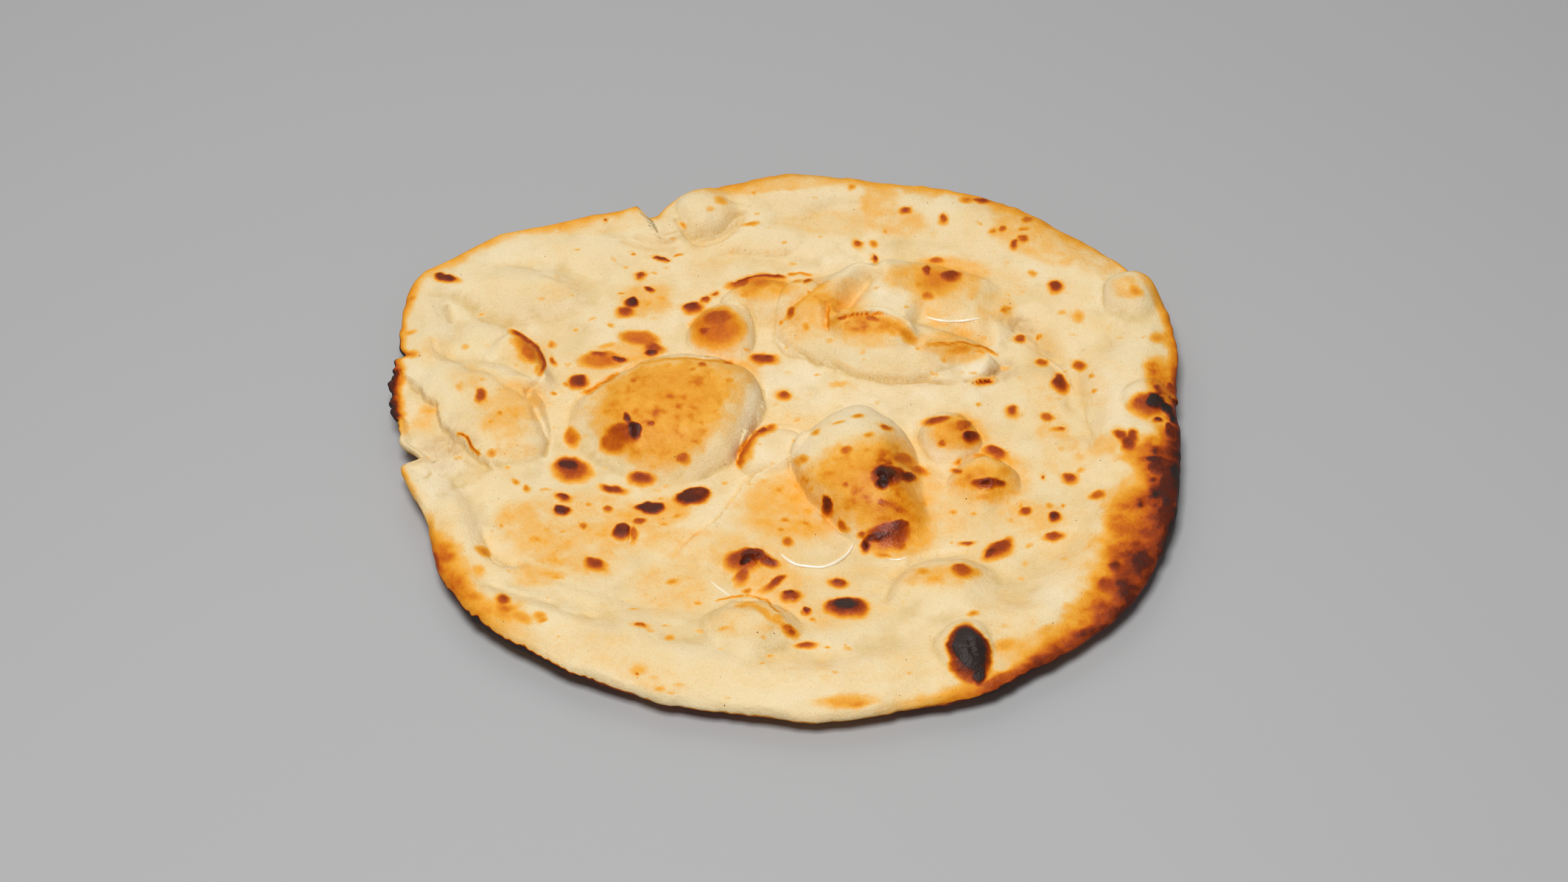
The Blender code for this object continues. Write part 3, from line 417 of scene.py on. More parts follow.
    (118.3, -53, 2.6, 4.4, 0, .8), (114.5, -47, 2, 4, 15, .5), (113, -62, 4.6, 4, 0, .68),
    (108.3, -72, 2.8, 3.0, -20, .86), (109.5, -75.5, 2.6, 2.0, 0, .76), (99.5, -75.8, 3.2, 2.8, 30, .74),
    (104, -79, 5, 3.6, 40, .6), (96.5, -84, 3.6, 4.2, 0, .62), (93, -92, 5, 3.4, 30, .54),
    (101, -69, 4, 3.6, 30, .54), (88, -99, 4.4, 2.6, 30, .42), (103, -88, 3, 2, 40, .56),
    # front rim
    (10, -125.5, 12, 3.4, 0, .36), (14, -126.5, 6, 2, 0, .44), (62, -106, 6, 4, 20, .36),
    (58, -121, 8, 2.6, 28, .58), (38, -129.5, 6, 1.4, 4, .55), (75, -101, 6, 3, 30, .26),
    (62, -97.5, 3, 2, 0, .18), (45, -127, 5, 1.2, 8, .3),
    # lower left rim
    (-118, -51, 4, 3.4, 0, .5), (-117, -55, 3.6, 3, 0, .55), (-120, -57, 2, 5, 15, .6),
    (-112, -66, 4, 6, 25, .42), (-107, -73, 5, 3.4, -35, .42), (-97, -79, 4, 3, -30, .5),
    (-92, -83, 6, 3, -30, .38), (-106, -62, 2.5, 4, 20, .3), (-86, -83, 2.5, 1.8, 0, .4),
)

# Curved browning: a path on the marking plane, its tone, and its reach to the left and the right.
STROKES = (
    # pocket: crest of the lip and the shade beneath it, valley, second crest, left side, foot
    (((16, 49.7), (20, 49.9), (26, 50.6), (33.5, 50.4)), .62, .6, 1.2),
    (((18, 48), (22, 48), (27, 48.2), (32, 46.6), (37, 42.6), (41, 37.3), (43.5, 32)), .42, 2.6, 2.6),
    (((27, 72), (24, 66), (20, 59), (17, 53), (16.5, 50)), .12, 2.4, 2.4),
    (((14, 57), (13.2, 52), (13, 47), (12.8, 43)), .48, .7, 1.1),
    (((45, 33.2), (50, 33.7), (55, 33.5), (60, 32.5), (65, 30.8), (72, 25.5)), .5, .45, 1.3),
    (((-3.5, 48), (0, 54), (4, 59.4), (9, 64.6), (15, 69)), .30, .8, 2.4),
    (((0, 36.5), (5, 32), (10, 27)), .13, .7, .8),
    (((11, 31), (17, 26), (22, 21), (28, 18), (38, 17), (45, 17.3), (52, 16)), .13, .7, .9),
    # crest behind the pocket
    (((-21.4, 69.2), (-18.5, 71.2), (-15, 72.4), (-10, 73.2), (-4, 73.4), (1, 72.7)), .74, .6, 1.8),
    (((0, 74), (4, 73.8), (8.5, 72)), .46, .6, .8),
    # back edge of the left blister, half-moon beside it, crescent ridge
    (((-72.5, 17), (-69, 20.3), (-63, 25.4), (-59.5, 28.2)), .5, .6, 1.5),
    (((-57, 30), (-50, 32.2), (-42, 33.2), (-35, 32.3), (-25, 30.7), (-17, 29)), .34, .6, 1.6),
    (((-5.5, -2), (-9, -2.8), (-12.3, -4.3), (-16, -8), (-18, -14), (-19.6, -21)), .6, 2.3, .8),
    (((-100, 53), (-95, 51), (-91, 45.5), (-88, 41), (-86.4, 37), (-85.5, 32), (-87, 27)), .72, .6, 2.6),
    # torn skin on the left, its charred edge
    (((-116, 2.5), (-114, 1.5), (-111, -1.5), (-109.5, -5), (-107, -9)), .66, .6, .8),
    (((-138, 38), (-138.8, 30), (-139, 22), (-138.4, 16), (-136, 9)), 1.0, 3.0, 3.4),
    (((-137, 39), (-136.6, 30), (-136.8, 22), (-136, 14), (-134, 8)), .52, 2.2, 2.2),
    # low bumps at the front, notch at the back
    (((-31, -82), (-27, -80.5), (-22, -79), (-19, -79.2), (-15, -81), (-11, -84.5), (-8, -88)), .46, .5, .5),
    (((-24, -82.4), (-19, -83), (-14, -86), (-9.5, -91), (-7, -94)), .32, 1.8, 1.8),
    (((-50, 109.3), (-47, 111), (-44, 113.5), (-41, 116.5)), .8, .9, .9),
    (((-48.3, 86.2), (-45.5, 86.5), (-43, 85.4), (-41.8, 83.8)), .84, .5, 1.0),
)

# Soft gold zones: centre on the marking plane, reach at equal bearings from +X, tone, blur.
ZONES = (
    ((-42, 8), (19, 23, 25, 26, 27, 28, 29, 26, 28, 29, 22, 19), .34, 5),
    ((22, -28), (18, 20, 22, 18, 17, 17, 19, 17, 17, 27, 33, 22), .35, 6),
    ((62, -33), (12, 12, 11, 12, 12, 12, 12, 12), .30, 5),
    ((53, -10), (10, 9, 9, 9, 7, 7, 8, 10), .34, 4),
    ((18, 54), (10, 9, 12, 18, 20, 18, 16, 10), .24, 6),
    ((28, 45), (11, 6, 5, 6, 12, 7, 5, 7), .32, 3),
    ((-8, -42), (14, 14, 12, 12, 12, 10, 10, 18), .16, 7),
    ((-68, -45), (22, 14, 12, 14, 26, 24, 18, 24), .16, 10),
    ((-80, -60), (26, 8, 8, 12, 14, 8, 8, 14), .18, 8),
    ((-17, -66), (12, 12, 12, 12, 14, 12, 12, 12), .16, 6),
    ((45, -75), (13, 9, 8, 9, 14, 9, 8, 10), .20, 5),
    ((-102, 14), (12, 9, 10, 9, 10, 9, 16, 14), .14, 6),
    ((58, 42), (14, 8, 6, 8, 16, 10, 8, 12), .14, 6),
    ((35, -50), (10, 10, 12, 10, 12, 10, 18, 14), .16, 6),
    ((-8, 66), (13, 6, 6, 6, 13, 7, 7, 7), .26, 3),
    ((106, -72), (16, 24, 32, 8, 5, 9, 12, 13), .54, 5),
    ((94, -93), (14, 18, 12, 9, 11, 14, 10, 10), .48, 5),
    ((72, -108), (12, 10, 7, 8, 14, 10, 10, 10), .28, 6),
    ((119, -42), (12, 16, 24, 11, 8, 13, 24, 15), .60, 5),
    ((124, 3), (10, 10, 18, 6, 5, 7, 12, 10), .46, 4),
    ((-118, -58), (6, 8, 14, 12, 12, 12, 12, 7), .28, 5),
    ((-100, -80), (11, 7, 5, 9, 12, 8, 6, 10), .26, 5),
    ((-125, 8), (5, 8, 14, 10, 8, 6, 8, 6), .18, 5),
)

# Warmer patches of plain dough, and along the front rim painted shade where it curves down away from the light:
# centre on the marking plane, half-length, half-width, turn, tone.
WARM_AND_FRONT_SHADE = (
    (0, -40, 24, 19, 20, .18), (-30, -57, 28, 9, -10, .14), (-50, -41, 17, 8, 10, .18),
    (-66, -42, 28, 9, -8, .11), (30, -53, 14, 13, 0, .26), (40, -35, 9, 12, 0, .17),
    (54, -11, 11, 9, -20, .22), (65, -32, 14, 13, 0, .14), (5, -89, 24, 8, 0, .13),
    (-20, -90, 14, 8, 0, .13), (86, 10, 38, 11, 88, .11), (95, 52, 14, 12, 30, .09),
    (86, 87, 16, 10, -48, .20), (35, 110, 13, 8, 80, .18), (52, 69, 20, 10, 0, .22),
    (52, 56, 11, 10, 0, .16), (55, 33, 14, 7, -10, .17), (-20, 23, 9, 9, 0, .20),
    (-50, 64, 11, 11, 0, .19), (-97, 12, 13, 17, 0, .16), (-92, 40, 12, 9, -60, .14),
    (-60, 37, 14, 6, 0, .20), (119, 57, 6, 7, 0, .18), (-131, 70, 12, 6, 80, .05),
    (-87, -51, 13, 9, -20, .13), (0, 70, 16, 5, 0, .11), (52, -48, 9, 15, 0, .13),
    (-24, 40, 8, 9, 0, .14), (-110, 28, 12, 9, -40, .12), (62, -62, 14, 10, 40, .11),
    (90, -22, 12, 14, 0, .13), (-8, 92, 14, 6, 0, .05), (-84, 72, 14, 9, 0, .10),
    (20, 60, 10, 12, -30, .13), (-125, 44, 8, 9, 0, .12), (-48, -112, 14, 6, -20, .12),
    (74, 62, 12, 12, 0, .10), (100, 8, 8, 14, 0, .10), (-36, 20, 20, 14, 0, .12),
    (-70, 66, 14, 12, 0, .07), (18, -75, 22, 8, 0, .10), (30, -100, 18, 9, 0, .05), (-10, -76, 12, 16, 0, .15), (75, -52, 16, 9, 0, .15),
    (-93, -40, 9, 12, 0, .16), (-76, -35, 24, 8, 0, .13), (-43, -74, 16, 14, 0, .14), (-87, -66, 9, 6, 0, .15),
    (26, 38, 13, 6, -10, .15), (58, 26, 9, 4, 0, .17), (2, 45, 8, 9, 0, .12), (110, 70, 9, 8, 0, .15),
    (40, 98, 15, 9, -15, .16), (103, -20, 6, 6, 0, .16), (86, -12, 7, 6, 0, .16), (-22, 10, 6, 18, -10, .14),
    (-95, -8, 8, 5, 0, .14), (72, 50, 8, 10, 0, .14), (28, -26, 8, 6, 0, .24), (-5, 122, 26, 4, 2, .16),
    (95, 80, 14, 11, -42, .16), (5, -112, 60, 9, 0, .10), (-62, -100, 26, 9, -25, .10), (62, -92, 14, 12, 20, .10),
    (20, 100, 26, 8, -5, .12), (-60, 106, 26, 5, 12, .10), (-100, -52, 8, 12, 10, .10),
)

# Toast along the edge: bearing, tone at the edge, and the width over which it fades.
RIM_TOAST = (
    (0, .66, 5), (8, .58, 3.5), (16, .45, 4), (25, .36, 4), (36, .36, 5), (46, .40, 6), (56, .36, 6),
    (66, .34, 6), (78, .34, 6), (90, .36, 5.5), (100, .30, 5), (108, .22, 3), (114, .38, 4),
    (124, .36, 5), (134, .30, 5), (143, .34, 4), (150, .42, 3), (157, .42, 2.5), (165, .5, 3),
    (174, .36, 3), (182, .08, 2), (187, .3, 2), (194, .12, 3), (200, .38, 4), (208, .46, 7),
    (216, .34, 7), (226, .14, 6), (238, .08, 5), (252, .06, 4), (266, .06, 4), (276, .10, 4),
    (284, .16, 4), (292, .42, 3.5), (299, .62, 3.5), (306, .62, 5), (312, .66, 7), (318, .72, 10.5),
    (325, .76, 15), (331, .76, 13), (337, .78, 11.5), (343, .8, 11), (348, .78, 12), (353, .72, 6),
)
# Burn on the outer side of the edge: bearing, tone, and how far up the side it reaches.
EDGE_BURN = (
    (0, .8, .9), (14, .66, .6), (30, .55, .4), (60, .6, .6), (90, .55, .5), (110, .6, .5),
    (140, .7, .5), (150, .8, .6), (163, .95, .8), (168, 1.0, .9), (174, .95, .8), (180, .3, .3),
    (190, .3, .3), (200, .6, .3), (210, .85, .5), (218, .95, .75), (226, .95, .8), (234, .9, .6),
    (245, .6, .1), (262, .5, 0), (275, .35, 0), (284, .45, .1), (295, .95, .6), (303, .9, .6),
    (312, .7, .4), (330, .9, .8), (345, .95, .9),
)

# Wet and buttery places: centre on the marking plane, half-length, half-width, turn, wetness.
WET = (
    (4, -61, 12, 7, 5, 1), (58, 45, 12, 6, 0, .9), (28, -38, 12, 16, 10, .8), (28, -58, 10, 7, 20, 1),
    (61, -40, 9, 8, 0, .95), (-17, -70, 13, 12, 0, .9), (-78, 48, 9, 11, 20, .7), (-53, 40, 10, 6, 0, .6),
    (-64, 30, 8, 5, 0, .7), (58, 60, 12, 14, -20, .65), (-48, 0, 16, 10, 0, .45), (-5, -80, 7, 5, 0, .8),
    (-78, -4, 6, 8, 0, .5), (-104, -4, 8, 8, 30, .45), (50, -52, 18, 12, 20, .5), (-62, -44, 20, 12, 0, .35),
    (12, -74, 6, 4, 0, .7), (12, -87, 7, 5, 0, .6), (-80, -38, 4, 4, 0, .8), (-108, 18, 3, 5, 0, .7),
    (73, -4, 4, 4, 0, .7), (-2, -50, 14, 10, 0, .4), (50, -108, 6, 11, 6, .5), (24, 40, 14, 8, -20, .3),
    (84, 16, 8, 8, 0, .5), (0, -88, 4, 4, 0, .8), (-26, -84, 9, 5, 0, .5),
)
# Beads of butter along the edges of its pools, coloured near white partly as a painted highlight: a path on the
# marking plane, and the bead's radius.
BEADS = (
    (((-7.8, -61.6), (-6.6, -63.6), (-4.5, -65.8), (-2, -67.4), (1, -68), (4, -68.7), (7, -68.5),
      (10, -67), (13, -64.6), (15, -61.8), (16.4, -58.6)), 0.55),
    (((47, 47.3), (50, 45.6), (53, 44.6), (57, 44), (61, 44.1), (65, 44.8), (70.5, 45.9)), 0.5),
    (((26.5, -66.2), (28.5, -67.4), (31, -67.2), (33, -66.2)), 0.35),
    (((-31, -71.5), (-29, -74.5), (-26.5, -77), (-24.5, -79)), 0.35),
)
# Dough made a little darker, the same: partly damp thin dough and partly painted shade, as at the pocket's foot and
# along the front rim.
DAMP_AND_SHADE = (
    (-14, -71, 6, 5, 10, .9), (5, -46, 7, 7, 0, .5), (24, -64, 8, 4, 10, .5), (14, -90, 9, 3, 0, .5),
    (86, 27, 3.5, 13, -26, .7), (-10, -88, 60, 24, -4, .28), (-60, -96, 16, 8, -25, .4), (56, -117, 8, 6, 20, .5),
    (20, 30, 20, 4, -20, .45), (6, 38, 3.5, 9, -35, .4), (-130, 70, 9, 22, -10, .35), (-88, 62, 26, 14, 0, .18),
    (-78, -20, 22, 18, 0, .22), (-78, -66, 26, 14, -10, .28), (-90, 34, 5, 12, -20, .3), (66, 14, 7, 3, 20, .6),
    (-94, -88, 14, 4, -38, .5), (30, -104, 18, 7, 0, .35), (60, -78, 20, 20, 0, .18), (112, 38, 6, 16, 0, .2),
    (-126, 8, 5, 14, -20, .4), (47, -13, 3, 8, 15, .5), (-110, 14, 8, 8, 0, .3), (2, -66, 9, 4, 0, .4),
    (-30, 99, 9, 5, 0, .35), (-8, -12, 3, 7, 10, .3), (78, -44, 10, 8, 0, .2), (-120, -52, 5, 12, 10, .3),
)
# Rough torn crumb: centre on the marking plane, half-length, half-width, turn, roughness.
CRUMBS = (
    (82, 37, 14, 4, -55, 1), (88, 26, 5, 5, 0, .8), (-120, -4, 7, 6, 20, 1), (-113, 1, 6, 3, -30, .8),
    (72, 18, 6, 5, 0, .8), (-12, -50, 18, 12, 35, .35), (84, 17, 8, 4, 0, .4), (-113, 7, 6, 6, 0, .4),
    (-69, -93, 6, 5, 0, .3), (-121, -13, 5, 3, 0, .5), (45, 14, 14, 2, 0, .5),
)
# Places where the dough stays paler and floury: the same.
FLOURY = (
    (-2, 24, 14, 8, -30, .8), (-6, 40, 7, 12, 0, .7), (-30, -27, 10, 3, 35, .8), (-24, -36, 8, 5, 45, .7),
    (22, 8, 24, 6, 0, .6), (-15, 5, 4, 18, -8, .6), (38, 60, 8, 13, 10, .8), (-34, 76, 16, 6, 0, .5),
    (75, -85, 22, 10, 25, .7), (112, 10, 10, 24, 0, .6), (-70, -100, 22, 10, -35, .5), (-96, -65, 10, 5, 0, .6),
    (-5, -12, 8, 8, 0, .6), (46, -22, 4, 8, 0, .5), (60, 20, 10, 4, -10, .7), (-70, 62, 10, 10, 0, .3),
    (-88, -88, 8, 6, -40, .5), (12, -112, 40, 9, 0, .4), (-40, 56, 6, 6, 0, .4),
)


def smooth(t):
    t = np.clip(t, 0, 1)
    return t * t * (3 - 2 * t)


def round_the_rim(stations, bearing):
    """Values at bearings in degrees, on a smooth closed curve through the stations."""
    knots = np.array([station[0] for station in stations], float)
    values = np.array([station[1] for station in stations], float)
    knots = np.concatenate([knots[-2:] - 360, knots, knots[:3] + 360])
    values = np.concatenate([values[-2:], values, values[:3]])
    slopes = np.gradient(values, knots)
    at = np.clip(np.searchsorted(knots, bearing, side="right") - 1, 1, len(knots) - 3)
    span = knots[at + 1] - knots[at]
    t = (bearing - knots[at]) / span
    start = values[at] * (1 + 2 * t) * (1 - t) ** 2 + slopes[at] * span * t * (1 - t) ** 2
    end = values[at + 1] * (3 - 2 * t) * t**2 - slopes[at + 1] * span * t**2 * (1 - t)
    return start + end


def evenly_round(values, bearing):
    """Values at bearings, from values given at equal steps of bearing."""
    step = 360 / len(values)
    return round_the_rim([(step * turn, value) for turn, value in enumerate(values)], bearing)


def bearing_of(x, y):
    return np.degrees(np.arctan2(y, x)) % 360


def grain(x, y, size, seed):
    """Smooth random values between -1 and 1 that change over about size millimetres."""
    lattice = np.random.default_rng(seed).uniform(-1, 1, (128, 128))
    turn = math.radians(17 + 31 * seed)
    u = (x * math.cos(turn) - y * math.sin(turn)) / size + 300
    v = (x * math.sin(turn) + y * math.cos(turn)) / size + 300
    i, j = np.floor(u).astype(int), np.floor(v).astype(int)
    s, t = smooth(u - i), smooth(v - j)
    i, j = i % 127, j % 127
    near = lattice[i, j] * (1 - s) + lattice[i + 1, j] * s
    far = lattice[i, j + 1] * (1 - s) + lattice[i + 1, j + 1] * s
    return near * (1 - t) + far * t


def blister(x, y, centre, reach, height, squareness, steepness, soft_side):
    x, y = x - centre[0], y - centre[1]
    bearing = bearing_of(x, y)
    t = np.hypot(x, y) / evenly_round(reach, bearing)
    soft = smooth(0.15 + 0.85 * np.cos(np.radians(bearing - soft_side)))
    return height * np.clip(1 - t**squareness, 0, None) ** (steepness + SOFT_FOOT * soft)


def along(path, x, y):
    """Distance to a path, above zero on its left, and the share of its length passed."""
    path = np.array(path, float)
    lengths = np.hypot(*np.diff(path, axis=0).T)
    passed = np.concatenate([[0], np.cumsum(lengths)])
    best = np.full(x.shape, np.inf)
    side = np.zeros(x.shape)
    share = np.zeros(x.shape)
    for (x0, y0), (x1, y1), before, length in zip(path[:-1], path[1:], passed, lengths):
        dx, dy = (x1 - x0) / length, (y1 - y0) / length
        t = np.clip((x - x0) * dx + (y - y0) * dy, 0, length)
        across = (y - y0) * dx - (x - x0) * dy
        distance = np.hypot(x - x0 - t * dx, y - y0 - t * dy)
        nearer = distance < best
        best = np.where(nearer, distance, best)
        side = np.where(nearer, np.where(across < 0, -1, 1), side)
        share = np.where(nearer, (before + t) / passed[-1], share)
    return best * side, share


def rounded(path):
    """The same path with each corner cut once, so that folds bend instead of turning sharply."""
    path = np.array(path, float)
    cut = [path[0]]
    for start, end in zip(path[:-1], path[1:]):
        cut += [start * 0.75 + end * 0.25, start * 0.25 + end * 0.75]
    return cut + [path[-1]]


def near(x, y, path, reach):
    """The points within reach of a path's box."""
    low = np.min(path, axis=0) - reach
    high = np.max(path, axis=0) + reach
    return (x > low[0]) & (x < high[0]) & (y > low[1]) & (y < high[1])


def fold(x, y, path, height, left, right):
    result = np.zeros(x.shape)
    close = near(x, y, path, 2 * max(left, right))
    distance, share = along(rounded(path), x[close], y[close])
    ends = smooth(share / 0.15) * smooth((1 - share) / 0.15)
    fall = np.exp(-((distance / np.where(distance > 0, left, right)) ** 2) * 2)
    result[close] = height * ends * fall
    return result


def tear(x, y, path, drop, width):
    """The skin drops sharply across a torn edge and rises again over the lower layer's width."""
    result = np.zeros(x.shape)
    close = near(x, y, path, width)
    distance, share = along(path, x[close], y[close])
    ends = smooth(share / 0.08) * smooth((1 - share) / 0.12)
    right = -distance
    result[close] = -drop * ends * smooth(right / TEAR_WIDTH + 0.5) * smooth(2 * (1 - right / width))
    return result


def oval(x, y, cx, cy, half_length, half_width, turn):
    """Distance from an oval's centre as a share of the way to its edge."""
    angle = math.radians(turn)
    along_it = (x - cx) * math.cos(angle) + (y - cy) * math.sin(angle)
    across_it = (y - cy) * math.cos(angle) - (x - cx) * math.sin(angle)
    return np.hypot(along_it / half_length, across_it / half_width)


def stain(x, y, marks, blur):
    """The strongest of some soft oval marks at each point; their last number is their strength."""
    result = np.zeros(x.shape)
    for cx, cy, half_length, half_width, turn, strength in marks:
        reach = 1.6 * max(half_length, half_width) + 2
        close = (np.abs(x - cx) < reach) & (np.abs(y - cy) < reach)
        t = oval(x[close], y[close], cx, cy, half_length, half_width, turn)
        size = math.sqrt(half_length * half_width)
        soft = min(0.95, blur(size) / size)
        mark = strength * smooth((1 + soft / 2 - t) / soft)
        result[close] = np.maximum(result[close], mark)
    return result


def scorch(x, y, marks):
    """Browned spots. Faint ones fade from their middle; strong ones have a soft ring up to
    OUTER_TONE, a darker heart that sits further back and a faint golden halo."""
    result = np.zeros(x.shape)
    for cx, cy, half_length, half_width, turn, tone in marks:
        reach = 1.5 * max(half_length, half_width) + 3
        close = (np.abs(x - cx) < reach) & (np.abs(y - cy) < reach)
        u, v = x[close], y[close]
        size = math.sqrt(half_length * half_width)
        t = oval(u, v, cx, cy, half_length, half_width, turn) / SPOT_GROWTH
        faint = tone * np.exp(-FAINT_FALL * t**2)
        spread = BROAD_SPREAD * size * (1 - float(smooth((tone - 0.66) / 0.2)))
        ring_width = min(1.1, (RING_WIDTH + spread) / size)
        crisp = 1 - CRISP_BACK * np.clip((v - cy) / (half_width * SPOT_GROWTH), -1, 1)
        ring = smooth((1 - t) / (ring_width * crisp) + 0.5)
        back = oval(u, v, cx, cy + HEART_BACK * half_width, half_length, half_width, turn) / SPOT_GROWTH
        heart = smooth((1.0 - back) / (min(0.95, (HEART_WIDTH + spread) / size) * crisp))
        strong = min(tone, OUTER_TONE) * ring + max(0, tone - OUTER_TONE) * heart
        strong = np.maximum(strong, HALO_TONE * np.exp(-((np.clip(t - 1, 0, None) * size / HALO_WIDTH) ** 2)))
        share = float(smooth((tone - 0.44) / 0.16))
        result[close] = np.maximum(result[close], faint + (strong - faint) * share)
    return result


def stroked(x, y, strokes):
    """The strongest of some curved marks at each point."""
    result = np.zeros(x.shape)
    for path, tone, left, right in strokes:
        close = near(x, y, path, 2.2 * max(left, right))
        distance, share = along(rounded(path), x[close], y[close])
        taper = np.sqrt(smooth(share / 0.16) * smooth((1 - share) / 0.16))
        fall = np.exp(-STROKE_FALL * (distance / np.where(distance > 0, left, right)) ** 2)
        result[close] = np.maximum(result[close], tone * taper * fall)
    return result


def hollows(mesh, height, rounds):
    """How far each point lies below the average of the points round it, over more rounds further."""
    ends = np.empty(len(mesh.edges) * 2, int)
    mesh.edges.foreach_get("vertices", ends)
    one, other = ends[::2], ends[1::2]
    count = np.bincount(ends, minlength=len(height))
    level = height.copy()
    for _ in range(rounds):
        total = np.bincount(one, level[other], len(height)) + np.bincount(other, level[one], len(height))
        level = (level + total) / (1 + count)
    return level - height


BEAD_RISE = 0.15
# How many faces are split in each round, and the weight of a bend against a change of tone.
REFINEMENTS = (1000000, 22500, 16500)
BEND_NEED = 0.35
UNDERSIDE_RISE = -0.12
OUTER_TONE = 0.58
SPOT_GROWTH = 1.08
STROKE_FALL = 1.0
FAINT_FALL = 1.6
RING_WIDTH = 2.1
HEART_WIDTH = 2.0
HEART_EASE = 0.4
DEEP_TONE = 0.72
CRISP_BACK = 0.5
HEART_BACK = 0.20
BROAD_SPREAD = 0.45
HALO_TONE = 0.17
HALO_WIDTH = 1.6
TEAR_WIDTH = 1.1
SOFT_FOOT = 0.9
RIM_FALL = 0.9
EDGE_THICKNESS = 3.6
EDGE_RADIUS = 2.0
EDGE_TAPER = 20.0
SHEET_THICKNESS = 6.0
REST_SHARE = 0.52
RIM_LIFT = 8.0
RIM_LIFT_BACK = 3.2
EDGE_SHARE = 0.085


def notched(share, bearing):
    """How far the notches pull the dough in towards the outline's centre."""
    cut = np.zeros_like(bearing)
    for middle, depth, before, after in NOTCHES:
        turn = bearing - middle
        cut += depth * smooth(1 - np.abs(turn) / np.where(turn < 0, before, after))
    return cut * smooth((share - NOTCH_SHARE) / (1 - NOTCH_SHARE))


def ragged(share, bearing):
    """Small unevenness of the edge, coarse where it is burnt to crumbs on the left."""
    around = bearing * 2.3
    gentle = 0.35 * grain(around, 0 * around, 3.0, 5) + 0.5 * grain(around, 0 * around, 11.0, 6)
    burnt = smooth((bearing - 162) / 3) * smooth((178 - bearing) / 3)
    crumbs = 1.3 * grain(around, 0 * around, 1.6, 7) + 0.8 * grain(around, 0 * around, 4.0, 8)
    return (gentle + burnt * crumbs) * smooth((share - 0.93) / 0.07)


def underside(share, bearing):
    lift = RIM_LIFT + RIM_LIFT_BACK * np.sin(np.radians(bearing))
    return lift * np.clip((share - REST_SHARE) / (1 - REST_SHARE), 0, None) ** 1.8


def marking_plan(x, y, z):
    """Where the line from the marking point through a point of the dough meets the plane."""
    px, py, pz = MARKING_POINT
    t = (MARKING_LEVEL - pz) / (z - pz)
    return px + (x - px) * t, py + (y - py) * t + MARKING_SHIFT


def broad_relief(x, y, share, bearing):
    """Thickness of the sheet with its rolled rim, blisters and large folds."""
    inward = (1 - share) * round_the_rim(OUTLINE, bearing)
    sheet = EDGE_THICKNESS + (SHEET_THICKNESS - EDGE_THICKNESS) * smooth(inward / EDGE_TAPER)
    across = np.clip(inward / round_the_rim(RIM_WIDTH, bearing), 0, 1)
    roll = round_the_rim(RIM_HEIGHT, bearing) * np.sin(np.pi * across**0.8)
    wx = x + 0.9 * grain(x, y, 9, 11) + 0.4 * grain(x, y, 4, 12)
    wy = y + 0.9 * grain(x, y, 9, 13) + 0.4 * grain(x, y, 4, 14)
    relief = sum(blister(wx, wy, *shape) for shape in BLISTERS)
    relief = relief + sum(fold(wx, wy, *shape) for shape in FOLDS)
    relief = relief + 1.0 * grain(x, y, 26, 15) + 0.75 * grain(x, y, 12, 16) + 0.34 * grain(x, y, 6, 17)
    return sheet + roll + relief


def fine_relief(u, v, tone):
    """Creases, torn edges, pits, raised scorches and skin, on the marking plane."""
    wu = u + 0.35 * grain(u, v, 2.6, 21)
    wv = v + 0.35 * grain(u, v, 2.6, 22)
    relief = sum(fold(wu, wv, *shape) for shape in FINE_FOLDS)
    tu = u + 0.8 * grain(u, v, 3.2, 23) + 0.5 * grain(u, v, 1.4, 24)
    tv = v + 0.8 * grain(u, v, 3.2, 25) + 0.5 * grain(u, v, 1.4, 26)
    relief = relief + sum(tear(tu, tv, *shape) for shape in TEARS)
    for (cx, cy), half_length, half_width, turn, depth in PITS:
        t = oval(wu, wv, cx, cy, half_length, half_width, turn)
        relief = relief - depth * smooth((1.35 - t) / 0.7)
        relief = relief + 0.3 * depth * np.exp(-(((t - 1.5) / 0.35) ** 2))
    relief = relief + 0.75 * smooth((tone - 0.5) / 0.35)
    crumb = stain(u, v, CRUMBS, lambda size: 0.9 * size)
    relief = relief + crumb * (0.45 * grain(u, v, 1.5, 27) + 0.3 * grain(u, v, 3.2, 28))
    for path, radius in BEADS:
        relief = relief + fold(u, v, path, 0.4 * radius, 2.0 * radius, 2.0 * radius)
    skin = 0.09 * grain(u, v, 2.2, 29) + 0.07 * grain(u, v, 1.1, 30) + 0.16 * grain(u, v, 5, 31)
    return relief + skin


